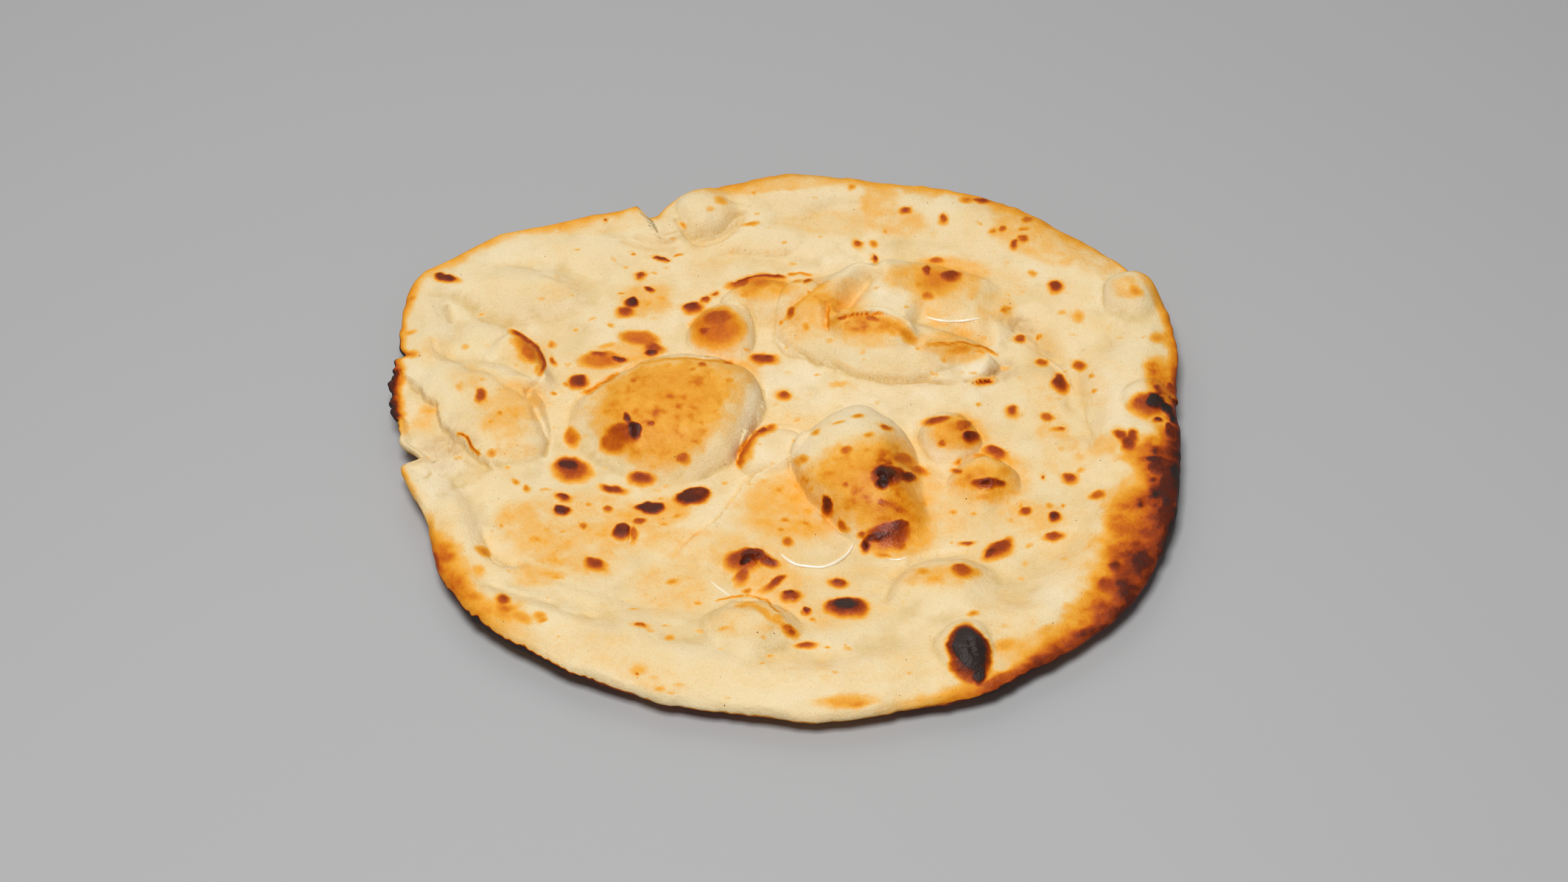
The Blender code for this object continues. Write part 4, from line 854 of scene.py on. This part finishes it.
def browning(u, v, share, bearing, up):
    """Tone of the crust at each point; up is 1 on top, 0 at the edge's middle and -1 below."""
    wu = u + 0.7 * grain(u, v, 4.5, 41) + 0.35 * grain(u, v, 1.7, 42)
    wv = v + 0.7 * grain(u, v, 4.5, 43) + 0.35 * grain(u, v, 1.7, 44)
    mottle = 0.6 * grain(u, v, 5.5, 45) + 0.5 * grain(u, v, 2.4, 46) + 0.25 * grain(u, v, 1.2, 47)
    zones = np.zeros(u.shape)
    for centre, reach, tone, blur in ZONES:
        x, y = wu - centre[0], wv - centre[1]
        inside = evenly_round(reach, bearing_of(x, y)) - np.hypot(x, y)
        zones = np.maximum(zones, tone * smooth(inside / (3.4 * blur) + 0.42))
    zones = zones * (0.92 + 0.30 * mottle + 0.60 * np.clip(mottle - 0.20, 0, None))
    # Warm patches of dough; those along the front rim are painted shade.
    warm_and_front_shade = stain(wu, wv, WARM_AND_FRONT_SHADE, lambda size: 0.9 * size) * (1 + 0.35 * mottle)
    warm_and_front_shade = np.maximum(warm_and_front_shade, 0.05 + 0.05 * grain(u, v, 19, 52) + 0.035 * grain(u, v, 7, 53))
    zones = np.maximum(zones, warm_and_front_shade) + 0.35 * np.minimum(zones, warm_and_front_shade)
    spots = np.maximum(scorch(wu, wv, SPOTS), stroked(wu, wv, STROKES))
    spots -= HEART_EASE * np.clip(spots - DEEP_TONE, 0, None)
    inward = (1 - share) * round_the_rim(OUTLINE, bearing)
    toast = round_the_rim([station[:2] for station in RIM_TOAST], bearing)
    width = round_the_rim([(station[0], station[2]) for station in RIM_TOAST], bearing)
    around = bearing * 2.3
    patchy = 1 + 0.32 * grain(around, inward, 9, 48) + 0.26 * grain(around, inward, 3.6, 49)
    rim = toast * np.exp(-RIM_FALL * (inward / (width * patchy)) ** 2) * (1 + 0.22 * mottle)
    tone = np.maximum(spots * (1 + 0.06 * mottle), zones)
    tone = np.maximum(tone, rim) + 0.3 * np.minimum(tone, rim) * (1 - tone)
    burn = round_the_rim([station[:2] for station in EDGE_BURN], bearing) + 0.12 * mottle
    reach = round_the_rim([(station[0], station[2]) for station in EDGE_BURN], bearing)
    ragged_line = reach + 0.25 * grain(around, 0 * around, 2.0, 50) + 0.2 * grain(around, 0 * around, 6.0, 51)
    outer = smooth((share - 0.972) / 0.01)
    return np.maximum(tone, burn * outer * smooth((ragged_line - up) / 0.35))


def under_browning(x, y, share):
    """The underside, baked on the oven's wall: mottled tan with scattered scorches."""
    mottle = 0.5 * grain(x, y, 14, 61) + 0.4 * grain(x, y, 6, 62) + 0.25 * grain(x, y, 2.6, 63)
    draw = np.random.default_rng(64)
    marks = []
    for _ in range(150):
        angle, reach = draw.uniform(0, 2 * math.pi), 125 * math.sqrt(draw.uniform(0, 1))
        size = draw.uniform(1.0, 4.2)
        marks.append((reach * math.cos(angle), reach * math.sin(angle), size * draw.uniform(0.9, 1.6),
                      size, draw.uniform(0, 180), draw.uniform(0.4, 0.86)))
    spots = stain(x + 1.2 * grain(x, y, 4, 65), y + 1.2 * grain(x, y, 4, 66), marks,
                  lambda size: 1.4 + 0.4 * size)
    return np.maximum(0.2 + 0.28 * mottle + 0.3 * smooth((share - 0.8) / 0.2), spots)


def freckles(u, v):
    """Tiny golden freckles, scattered where the dough has dried."""
    draw = np.random.default_rng(71)
    marks = []
    for _ in range(300):
        angle, reach = draw.uniform(0, 2 * math.pi), 128 * math.sqrt(draw.uniform(0, 1))
        size = draw.uniform(0.35, 1.0)
        marks.append((reach * math.cos(angle), reach * math.sin(angle), size * draw.uniform(1.0, 2.2),
                      size, draw.uniform(-30, 30), draw.uniform(0.06, 0.24)))
    return stain(u, v, marks, lambda size: 0.9)


def unit_points(mesh):
    """The mesh's points, moved out to a sphere of radius 1."""
    points = np.empty(len(mesh.vertices) * 3)
    mesh.vertices.foreach_get("co", points)
    points = points.reshape(-1, 3)
    return points / np.linalg.norm(points, axis=1, keepdims=True)


def shaped_leaf(sphere):
    """Where each point of the sphere goes on the leaf, and its browning."""
    bearing = bearing_of(sphere[:, 0], sphere[:, 1])
    rise = sphere[:, 2]
    height = np.abs(rise)
    edge = round_the_rim(OUTLINE, bearing)
    inner = (edge - EDGE_RADIUS) * np.sqrt(np.clip((1 - height) / (1 - EDGE_SHARE), 0, 1))
    turn = np.clip(height / EDGE_SHARE, 0, 1) * np.pi / 2
    radius = inner + EDGE_RADIUS * np.cos(turn)
    share = radius / edge
    radius = radius - notched(share, bearing) + ragged(share, bearing)
    x = OUTLINE_CENTRE[0] + radius * np.cos(np.radians(bearing))
    y = OUTLINE_CENTRE[1] + radius * np.sin(np.radians(bearing))
    low = underside(share, bearing)
    thick = np.maximum(broad_relief(x, y, share, bearing), EDGE_THICKNESS)
    up = np.sin(turn) * np.sign(rise)
    u, v = marking_plan(x, y, low + thick)
    tone = browning(u, v, share, bearing, np.ones_like(up))
    fade = smooth((1 - share) * 130 / 4)
    thick = np.maximum(thick + fade * fine_relief(u, v, tone), 2.2)
    z = low + thick / 2 + up * thick / 2
    u, v = marking_plan(x, y, z)
    tone = browning(u, v, share, bearing, up)
    tone = np.where(rise > 0, np.maximum(tone, freckles(u, v)), tone)
    depth = smooth((-up - 0.4) / 0.5)
    tone = tone * (1 - depth) + np.maximum(under_browning(x, y, share), tone * (share > 0.9)) * depth
    dimples = 0.7 * np.abs(grain(x, y, 17, 91)) + 0.3 * np.abs(grain(x, y, 7, 92))
    z = z + np.where(up < -0.9, dimples * smooth((1 - share) * 8), 0)
    return {"x": x, "y": y, "z": z, "u": u, "v": v, "tone": tone, "fade": fade, "top": up > -0.2}


def plan_to_scene():
    """The shift from the plan, in metres, to the solid's place."""
    low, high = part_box(NODE)
    middle = (Vector(low) + Vector(high)) / 2
    return Vector((middle.x - PLAN_MIDDLE[0] * MM, middle.y - PLAN_MIDDLE[1] * MM, low[2]))


def colour_property(name, description, default):
    return bpy.props.FloatVectorProperty(
        name=name, description=description, default=default, size=4, min=0, max=1, subtype="COLOR"
    )


def srgb(red, green, blue):
    """A screen colour from 0 to 255 as the linear colour that materials take."""
    def linear(value):
        value /= 255
        return value / 12.92 if value <= 0.04045 else ((value + 0.055) / 1.055) ** 2.4
    return (linear(red), linear(green), linear(blue), 1.0)


class NaanSizes(bpy.types.PropertyGroup):
    sphere_steps: bpy.props.IntProperty(
        name="Fineness", description="Subdivisions of the sphere that becomes the dough",
        default=6, min=5, max=7,
    )
    grain_height: bpy.props.FloatProperty(
        name="Grain", description="Height of the finest grain of the crust",
        default=0.00025, min=0, max=0.002, unit="LENGTH",
    )


class NaanColours(bpy.types.PropertyGroup):
    pale: colour_property("Pale dough", "Dough that stayed floury", srgb(245, 229, 196))
    cream: colour_property("Cream dough", "Plain baked dough", srgb(241, 220, 176))
    butter: colour_property("Buttered dough", "Dough soaked with butter", srgb(236, 203, 142))
    toasted: colour_property("Toasted dough", "Where browning begins", srgb(240, 208, 146))
    gold: colour_property("Gold", "First browning", srgb(243, 173, 58))
    orange: colour_property("Orange", "Deeper browning", srgb(229, 143, 16))
    rust: colour_property("Rust", "The edge of a scorch", srgb(208, 105, 2))
    brown: colour_property("Brown", "Browned spots", srgb(166, 64, 1))
    dark: colour_property("Dark brown", "Scorched spots", srgb(94, 30, 5))
    char: colour_property("Char", "Burnt crust", srgb(46, 34, 30))
    speck: colour_property("Specks", "Tiny brown specks", srgb(120, 70, 34))
    butter_clear: colour_property("Clear butter", "Melted butter", srgb(250, 232, 190))
    # Near white: a painted highlight on the butter beads.
    butter_painted_highlight: colour_property("Milky butter", "Clouds in the butter", srgb(255, 250, 236))
    crumb: colour_property("Crumb", "Torn crumb", srgb(214, 176, 130))
    floor: colour_property("Floor", "The plain floor", srgb(178, 178, 178))


def node(tree, kind, place=(0, 0), **settings):
    made = tree.nodes.new(kind)
    made.location = place
    for name, value in settings.items():
        setattr(made, name, value)
    return made


def ramp(tree, place, stops):
    made = node(tree, "ShaderNodeValToRGB", place)
    elements = made.color_ramp.elements
    while len(elements) < len(stops):
        elements.new(0.5)
    for element, (position, colour) in zip(elements, stops):
        element.position = position
        element.color = colour
    return made


def connect(tree, socket, value):
    if isinstance(value, bpy.types.NodeSocket):
        tree.links.new(value, socket)
    else:
        socket.default_value = value


def blend(tree, place, share, first, second, kind="MIX"):
    """Mixes two colours, each a socket or a colour, by a share."""
    made = node(tree, "ShaderNodeMix", place, data_type="RGBA", blend_type=kind)
    for name, value in (("Factor_Float", share), ("A_Color", first), ("B_Color", second)):
        connect(tree, next(socket for socket in made.inputs if socket.identifier == name), value)
    return next(socket for socket in made.outputs if socket.identifier == "Result_Color")


def maths(tree, place, operation, *values, clamp=False):
    made = node(tree, "ShaderNodeMath", place, operation=operation, use_clamp=clamp)
    for socket, value in zip(made.inputs, values):
        connect(tree, socket, value)
    return made.outputs[0]


def noise(tree, place, coordinates, scale, detail, seed=0.0):
    made = node(tree, "ShaderNodeTexNoise", place, noise_dimensions="4D")
    made.inputs["Scale"].default_value = scale
    made.inputs["Detail"].default_value = detail
    made.inputs["W"].default_value = seed
    tree.links.new(coordinates, made.inputs["Vector"])
    return made.outputs["Fac"]


def attribute(tree, place, name):
    return node(tree, "ShaderNodeAttribute", place, attribute_name=name).outputs["Fac"]


def crust_material(colours, sizes):
    material = bpy.data.materials.new("baked_crust_skin")
    material.use_nodes = True
    tree = material.node_tree
    link = tree.links.new
    shader = tree.nodes["Principled BSDF"]
    place = node(tree, "ShaderNodeTexCoord", (-2300, 0)).outputs["Object"]
    tone = attribute(tree, (-2300, 400), "tone")
    wet = attribute(tree, (-2300, -300), "wet")
    crumb = attribute(tree, (-2300, -500), "crumb")
    flour = attribute(tree, (-2300, -700), "flour")
    painted_shade = attribute(tree, (-2300, -900), "painted_shade")

    # Dough before browning: cream, paler where floury, yellower where buttered.
    patches = noise(tree, (-2100, 900), place, 60, 4)
    pale_share = maths(tree, (-1900, 900), "MULTIPLY_ADD", patches, 1.5, -0.55)
    pale_share = maths(tree, (-1700, 900), "MULTIPLY_ADD", flour, 0.6, pale_share, clamp=True)
    dough = blend(tree, (-1500, 900), pale_share, colours.cream, colours.pale)
    dough = blend(tree, (-1300, 900), maths(tree, (-1500, 700), "MULTIPLY", wet, 0.7), dough, colours.butter)
    crumb_grain = noise(tree, (-1700, 600), place, 420, 4, 5.0)
    torn = maths(tree, (-1500, 550), "MULTIPLY", crumb, maths(tree, (-1600, 500), "MULTIPLY", crumb_grain, 1.5), clamp=True)
    dough = blend(tree, (-1100, 900), torn, dough, colours.crumb)

    # Hollows and creases are darkened and yellowed with painted shade, stronger the deeper a point lies below its
    # surroundings; the damp and shaded marks add to it.
    dough = blend(tree, (-900, 900), painted_shade, dough, PAINTED_SHADE_TINT, "MULTIPLY")

    # Browning over it, its edges broken up by fine noise.
    fine = maths(tree, (-1900, 400), "MULTIPLY_ADD", noise(tree, (-2100, 400), place, 800, 4, 1.0), 0.14, -0.07)
    broad = maths(tree, (-1900, 250), "MULTIPLY_ADD", noise(tree, (-2100, 200), place, 220, 3, 2.0), 0.12, -0.06)
    shift = maths(tree, (-1750, 330), "ADD", fine, broad)
    strength = maths(tree, (-1750, 480), "MULTIPLY_ADD", tone, 2.0, 0.32, clamp=True)
    shifted = maths(tree, (-1600, 380), "MULTIPLY_ADD", shift, strength, tone)
    browned = ramp(tree, (-1400, 380), (
        (0.08, colours.toasted), (0.27, colours.gold), (0.42, colours.orange), (0.54, colours.rust),
        (0.66, colours.brown), (0.81, colours.dark), (0.95, colours.char),
    ))
    link(shifted, browned.inputs["Fac"])
    cover = ramp(tree, (-1400, 130), ((0.01, (0, 0, 0, 1)), (0.17, (1, 1, 1, 1))))
    link(shifted, cover.inputs["Fac"])
    baked = blend(tree, (-700, 600), cover.outputs["Color"], dough, browned.outputs["Color"])

    # Sparse brown specks, about half a millimetre across.
    specks = node(tree, "ShaderNodeTexVoronoi", (-1100, 1300), voronoi_dimensions="2D")
    specks.inputs["Scale"].default_value = SPECK_SCALE
    link(place, specks.inputs["Vector"])
    size = maths(tree, (-900, 1400), "MULTIPLY_ADD", specks.outputs["Color"], 0.030, -0.006)
    inside = maths(tree, (-700, 1400), "SUBTRACT", size, specks.outputs["Distance"])
    inside = maths(tree, (-600, 1300), "MULTIPLY", inside, 130.0, clamp=True)
    baked = blend(tree, (-600, 700), inside, baked, colours.speck)

    # Fine freckling of the skin, a little darker and a little lighter.
    freckles = noise(tree, (-1100, 100), place, 1500, 3, 3.0)
    freckled = ramp(tree, (-900, 100), (
        (0.30, (0.90, 0.86, 0.78, 1)), (0.42, (0.98, 0.97, 0.95, 1)), (0.60, (1, 1, 1, 1)),
    ))
    link(freckles, freckled.inputs["Fac"])
    skin_colour = blend(tree, (-500, 600), 1.0, baked, freckled.outputs["Color"], "MULTIPLY")
    link(skin_colour, shader.inputs["Base Color"])

    # Butter makes it shine; flour and crumb leave it matt.
    gloss = maths(tree, (-1100, -200), "MULTIPLY_ADD", wet, -0.30, 0.55)
    uneven = noise(tree, (-1300, -300), place, 500, 3, 6.0)
    gloss = maths(tree, (-900, -200), "MULTIPLY_ADD", uneven, 0.14, gloss)
    gloss = maths(tree, (-700, -200), "MULTIPLY_ADD", crumb, 0.2, gloss, clamp=True)
    link(gloss, shader.inputs["Roughness"])
    shader.inputs["Specular IOR Level"].default_value = 0.24
    shader.inputs["Subsurface Weight"].default_value = 0.08
    shader.inputs["Subsurface Radius"].default_value = (1.0, 0.6, 0.3)
    shader.inputs["Subsurface Scale"].default_value = 0.003

    # Grain of the skin, coarser on torn crumb.
    skin = noise(tree, (-1300, -600), place, 1300, 4, 7.0)
    wrinkle = noise(tree, (-1300, -800), place, 380, 4, 8.0)
    coarse = noise(tree, (-1300, -1000), place, 520, 6, 9.0)
    height = maths(tree, (-1100, -650), "MULTIPLY_ADD", wrinkle, 1.8, skin)
    torn_height = maths(tree, (-1100, -900), "MULTIPLY", crumb, coarse)
    height = maths(tree, (-900, -650), "MULTIPLY_ADD", torn_height, 4.0, height)
    bump = node(tree, "ShaderNodeBump", (-300, -600))
    bump.inputs["Strength"].default_value = 0.9
    bump.inputs["Distance"].default_value = sizes.grain_height
    link(height, bump.inputs["Height"])
    link(bump.outputs["Normal"], shader.inputs["Normal"])
    return material


def butter_material(colours):
    material = bpy.data.materials.new("melted_butter")
    material.use_nodes = True
    tree = material.node_tree
    shader = tree.nodes["Principled BSDF"]
    place = node(tree, "ShaderNodeTexCoord", (-900, 0)).outputs["Object"]
    # Near-white clouds on the beads: a painted highlight, besides the butter's real gloss.
    cloudy = noise(tree, (-700, 100), place, 700, 3, 4.0)
    butter_and_highlight = blend(tree, (-400, 100), cloudy, colours.butter_clear, colours.butter_painted_highlight)
    tree.links.new(butter_and_highlight, shader.inputs["Base Color"])
    gloss = maths(tree, (-400, -100), "MULTIPLY_ADD", cloudy, 0.16, 0.04)
    tree.links.new(gloss, shader.inputs["Roughness"])
    shader.inputs["Specular IOR Level"].default_value = 0.8
    return material


def give(mesh, name, values):
    layer = mesh.attributes.new(name, "FLOAT", "POINT")
    layer.data.foreach_set("value", np.ascontiguousarray(values, np.float32))


def settle(piece):
    """Hangs a finished piece under the bread's body and hides the imported solid."""
    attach(piece, BODY)
    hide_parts(NODE)
    return piece


class NAAN_OT_dough(bpy.types.Operator):
    """Model the dough: the leaf, its rolled rim, blisters, folds, tears and browning"""

    bl_idname = "naan.dough"
    bl_label = "Dough"

    def execute(self, context):
        sizes, colours = context.scene.naan_sizes, context.scene.naan_colours
        bpy.ops.object.select_all(action="DESELECT")
        bpy.ops.mesh.primitive_ico_sphere_add(subdivisions=sizes.sphere_steps, radius=1.0)
        dough = context.active_object
        dough.name = dough.data.name = "naan_dough"
        mesh = dough.data
        for wanted in REFINEMENTS:
            self.refine(context, mesh, wanted)

        # No edit-mode tool gives this relief, so the sphere's points are placed by functions.
        sphere = unit_points(mesh)
        leaf = shaped_leaf(sphere)
        points = np.column_stack([leaf["x"], leaf["y"], leaf["z"]]) * MM + np.array(plan_to_scene())
        mesh.vertices.foreach_set("co", points.astype(np.float32).ravel())
        mesh.update()
        u, v, top = leaf["u"], leaf["v"], leaf["top"]
        give(mesh, "tone", leaf["tone"])
        z = leaf["z"]
        # Painted shade: how far each point lies below its surroundings, over three breadths.
        hollow_shade = 0.10 * hollows(mesh, z, 130) + 0.28 * hollows(mesh, z, 24) + 1.1 * hollows(mesh, z, 4)
        # Damp thin dough and painted shade, added to the painted shade of the hollows.
        damp_and_shade = stain(u, v, DAMP_AND_SHADE, lambda size: 0.9 * size) * (1 + 0.3 * grain(u, v, 6, 83))
        hollow_shade = np.clip(hollow_shade * leaf["fade"], 0, 1) + 0.55 * damp_and_shade
        give(mesh, "painted_shade", np.where(sphere[:, 2] > 0, hollow_shade, 0.1))
        wet = stain(u, v, WET, lambda size: 0.8 * size) * (0.8 + 0.5 * grain(u, v, 5, 81))
        give(mesh, "wet", np.where(top, np.clip(wet, 0, 1), 0))
        crumb = stain(u, v, CRUMBS, lambda size: 0.9 * size) * (0.85 + 0.4 * grain(u, v, 2.5, 82))
        give(mesh, "crumb", np.where(top, np.clip(crumb, 0, 1), 0.15))
        give(mesh, "flour", np.where(top, stain(u, v, FLOURY, lambda size: 0.9 * size), 0.2))
        mesh.update()
        bpy.ops.object.shade_smooth()
        mesh.materials.append(crust_material(colours, sizes))
        settle(dough)
        print("dough faces", len(mesh.polygons))
        return {"FINISHED"}

    def refine(self, context, mesh, wanted):
        """Splits the faces of the top where the relief or the browning changes most, up to a number."""
        faces = np.empty(len(mesh.polygons) * 3, int)
        mesh.polygons.foreach_get("vertices", faces)
        faces = faces.reshape(-1, 3)
        sphere = unit_points(mesh)
        leaf = shaped_leaf(sphere)
        points = np.column_stack([leaf["x"], leaf["y"], leaf["z"]])
        sides = points[faces]
        normal = np.cross(sides[:, 1] - sides[:, 0], sides[:, 2] - sides[:, 0])
        size = np.linalg.norm(normal, axis=1)
        normals = np.zeros(points.shape)
        for corner in range(3):
            np.add.at(normals, faces[:, corner], normal)
        normals /= np.linalg.norm(normals, axis=1, keepdims=True) + 1e-12
        bend = sum(np.linalg.norm(normals[faces[:, a]] - normals[faces[:, b]], axis=1) for a, b in ((0, 1), (1, 2), (2, 0)))
        shade = np.ptp(leaf["tone"][faces], axis=1)
        need = (bend * BEND_NEED + shade) * np.sqrt(size)
        rise = sphere[faces][:, :, 2].mean(axis=1)
        need[rise < UNDERSIDE_RISE] = 0
        chosen = np.zeros(len(faces), bool)
        chosen[np.argsort(-need, kind="stable")[:wanted]] = True
        chosen &= need > 0
        context.tool_settings.mesh_select_mode = (False, False, True)
        bpy.ops.object.mode_set(mode="EDIT")
        bpy.ops.mesh.select_all(action="DESELECT")
        bpy.ops.object.mode_set(mode="OBJECT")
        mesh.polygons.foreach_set("select", chosen)
        bpy.ops.object.mode_set(mode="EDIT")
        bpy.ops.mesh.subdivide(number_cuts=1, ngon=False)
        bpy.ops.mesh.select_all(action="SELECT")
        bpy.ops.mesh.quads_convert_to_tris()
        bpy.ops.object.mode_set(mode="OBJECT")


class NAAN_OT_butter(bpy.types.Operator):
    """Lay beads of melted butter along the edges of its pools"""

    bl_idname = "naan.butter"
    bl_label = "Butter"

    def execute(self, context):
        dough = bpy.data.objects["naan_dough"]
        context.view_layer.update()
        eye = Vector(MARKING_POINT) * MM + plan_to_scene()
        strands = []
        for path, radius in BEADS:
            bpy.ops.object.select_all(action="DESELECT")
            bpy.ops.curve.primitive_nurbs_path_add()
            strand = context.active_object
            strand.data.splines.clear()
            spline = strand.data.splines.new("NURBS")
            spline.points.add(len(path) - 1)
            spline.use_endpoint_u = True
            spline.order_u = 3
            spline.resolution_u = 4
            for number, (point, (u, v)) in enumerate(zip(spline.points, path)):
                mark = Vector((u, v - MARKING_SHIFT, MARKING_LEVEL)) * MM + plan_to_scene()
                hit, place, normal, _ = dough.ray_cast(eye, (mark - eye).normalized())
                if not hit:
                    raise RuntimeError("a bead of butter misses the dough")
                point.co = (*(place + normal * radius * BEAD_RISE * MM), 1.0)
                end = number in (0, len(path) - 1)
                point.radius = 0.35 if end else 0.75 + 0.5 * ((number * 7) % 5) / 4
            strand.data.bevel_depth = radius * MM
            strand.data.bevel_resolution = 2
            strand.data.use_fill_caps = True
            bpy.ops.object.convert(target="MESH")
            strands.append(context.active_object)
        bpy.ops.object.select_all(action="DESELECT")
        for strand in strands:
            strand.select_set(True)
        context.view_layer.objects.active = strands[0]
        bpy.ops.object.join()
        butter = context.active_object
        butter.name = butter.data.name = "naan_butter"
        bpy.ops.object.mode_set(mode="EDIT")
        bpy.ops.mesh.select_all(action="SELECT")
        bpy.ops.mesh.remove_doubles(threshold=1e-6)
        bpy.ops.mesh.normals_make_consistent(inside=False)
        bpy.ops.object.mode_set(mode="OBJECT")
        bpy.ops.object.shade_smooth()
        butter.data.materials.clear()
        butter.data.materials.append(butter_material(context.scene.naan_colours))
        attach(butter, BODY)
        return {"FINISHED"}


class NAAN_OT_stage(bpy.types.Operator):
    """Set the plain floor, the soft studio light and the camera"""

    bl_idname = "naan.stage"
    bl_label = "Stage"

    def execute(self, context):
        scene = context.scene
        colours = scene.naan_colours
        bpy.ops.object.select_all(action="DESELECT")
        bpy.ops.mesh.primitive_plane_add(size=FLOOR_SIZE)
        floor = context.active_object
        floor.name = "floor"
        floor.location.z = CAD_BOX[0][2] - 0.0002
        material = bpy.data.materials.new("plain_floor")
        material.use_nodes = True
        shader = material.node_tree.nodes["Principled BSDF"]
        shader.inputs["Base Color"].default_value = colours.floor
        shader.inputs["Roughness"].default_value = 0.9
        shader.inputs["Specular IOR Level"].default_value = 0.1
        floor.data.materials.append(material)
        for name, place, size, power in LIGHTS:
            lamp = bpy.data.lights.new(name, "AREA")
            lamp.shape = "RECTANGLE"
            lamp.size, lamp.size_y = size
            lamp.energy = power
            holder = bpy.data.objects.new(name, lamp)
            holder.location = place
            holder.rotation_euler = (-Vector(place)).to_track_quat("-Z", "Y").to_euler()
            scene.collection.objects.link(holder)
        world = bpy.data.worlds.new("soft_room")
        world.use_nodes = True
        world.node_tree.nodes["Background"].inputs["Color"].default_value = (1, 1, 1, 1)
        world.node_tree.nodes["Background"].inputs["Strength"].default_value = ROOM_LIGHT
        scene.world = world
        scene.view_settings.view_transform = "Standard"
        scene.camera = self.camera(scene)
        return {"FINISHED"}

    def camera(self, scene):
        data = bpy.data.cameras.new("camera")
        data.lens = 70
        data.sensor_width = 36
        holder = bpy.data.objects.new("camera", data)
        scene.collection.objects.link(holder)
        elevation = math.radians(VIEW_ELEVATION)
        forward = Vector((0, math.cos(elevation), -math.sin(elevation)))
        right = Vector((1, 0, 0))
        turned = Matrix((right, right.cross(forward), -forward)).transposed().to_4x4()
        turned = turned @ Matrix.Rotation(math.radians(VIEW_ROLL), 4, "Z")
        turned.translation = Vector(VIEW_TARGET) * MM + plan_to_scene() - forward * VIEW_DISTANCE
        holder.matrix_world = turned
        return holder


FLOOR_SIZE = 8.0
VIEW_ELEVATION = 45.07
VIEW_ROLL = -3.13
VIEW_DISTANCE = 1.0259
VIEW_TARGET = (-4.59, -11.07, 10.0)
ROOM_LIGHT = 0.145
LIGHTS = (
    ("key", (-0.1, -0.42, 1.25), (0.45, 0.45), 13.9),
    ("back", (-0.2, 0.9, 0.9), (1.0, 1.0), 3.6),
)


class NAAN_PT_panel(bpy.types.Panel):
    bl_label = "Naan"
    bl_idname = "NAAN_PT_panel"
    bl_space_type = "VIEW_3D"
    bl_region_type = "UI"
    bl_category = "Naan"

    def draw(self, context):
        for group in (context.scene.naan_sizes, context.scene.naan_colours):
            for name in group.bl_rna.properties.keys():
                if name not in ("rna_type", "name"):
                    self.layout.prop(group, name)
        for operator in OPERATORS:
            self.layout.operator(operator.bl_idname)


OPERATORS = (NAAN_OT_dough, NAAN_OT_butter, NAAN_OT_stage)
CLASSES = (NaanSizes, NaanColours, *OPERATORS, NAAN_PT_panel)


def register():
    for cls in CLASSES:
        bpy.utils.register_class(cls)
    bpy.types.Scene.naan_sizes = bpy.props.PointerProperty(type=NaanSizes)
    bpy.types.Scene.naan_colours = bpy.props.PointerProperty(type=NaanColours)


def unregister():
    del bpy.types.Scene.naan_sizes
    del bpy.types.Scene.naan_colours
    for cls in reversed(CLASSES):
        bpy.utils.unregister_class(cls)


def main():
    register()
    bpy.ops.naan.dough()
    bpy.ops.naan.butter()
    bpy.ops.naan.stage()


if __name__ == "__main__":
    main()
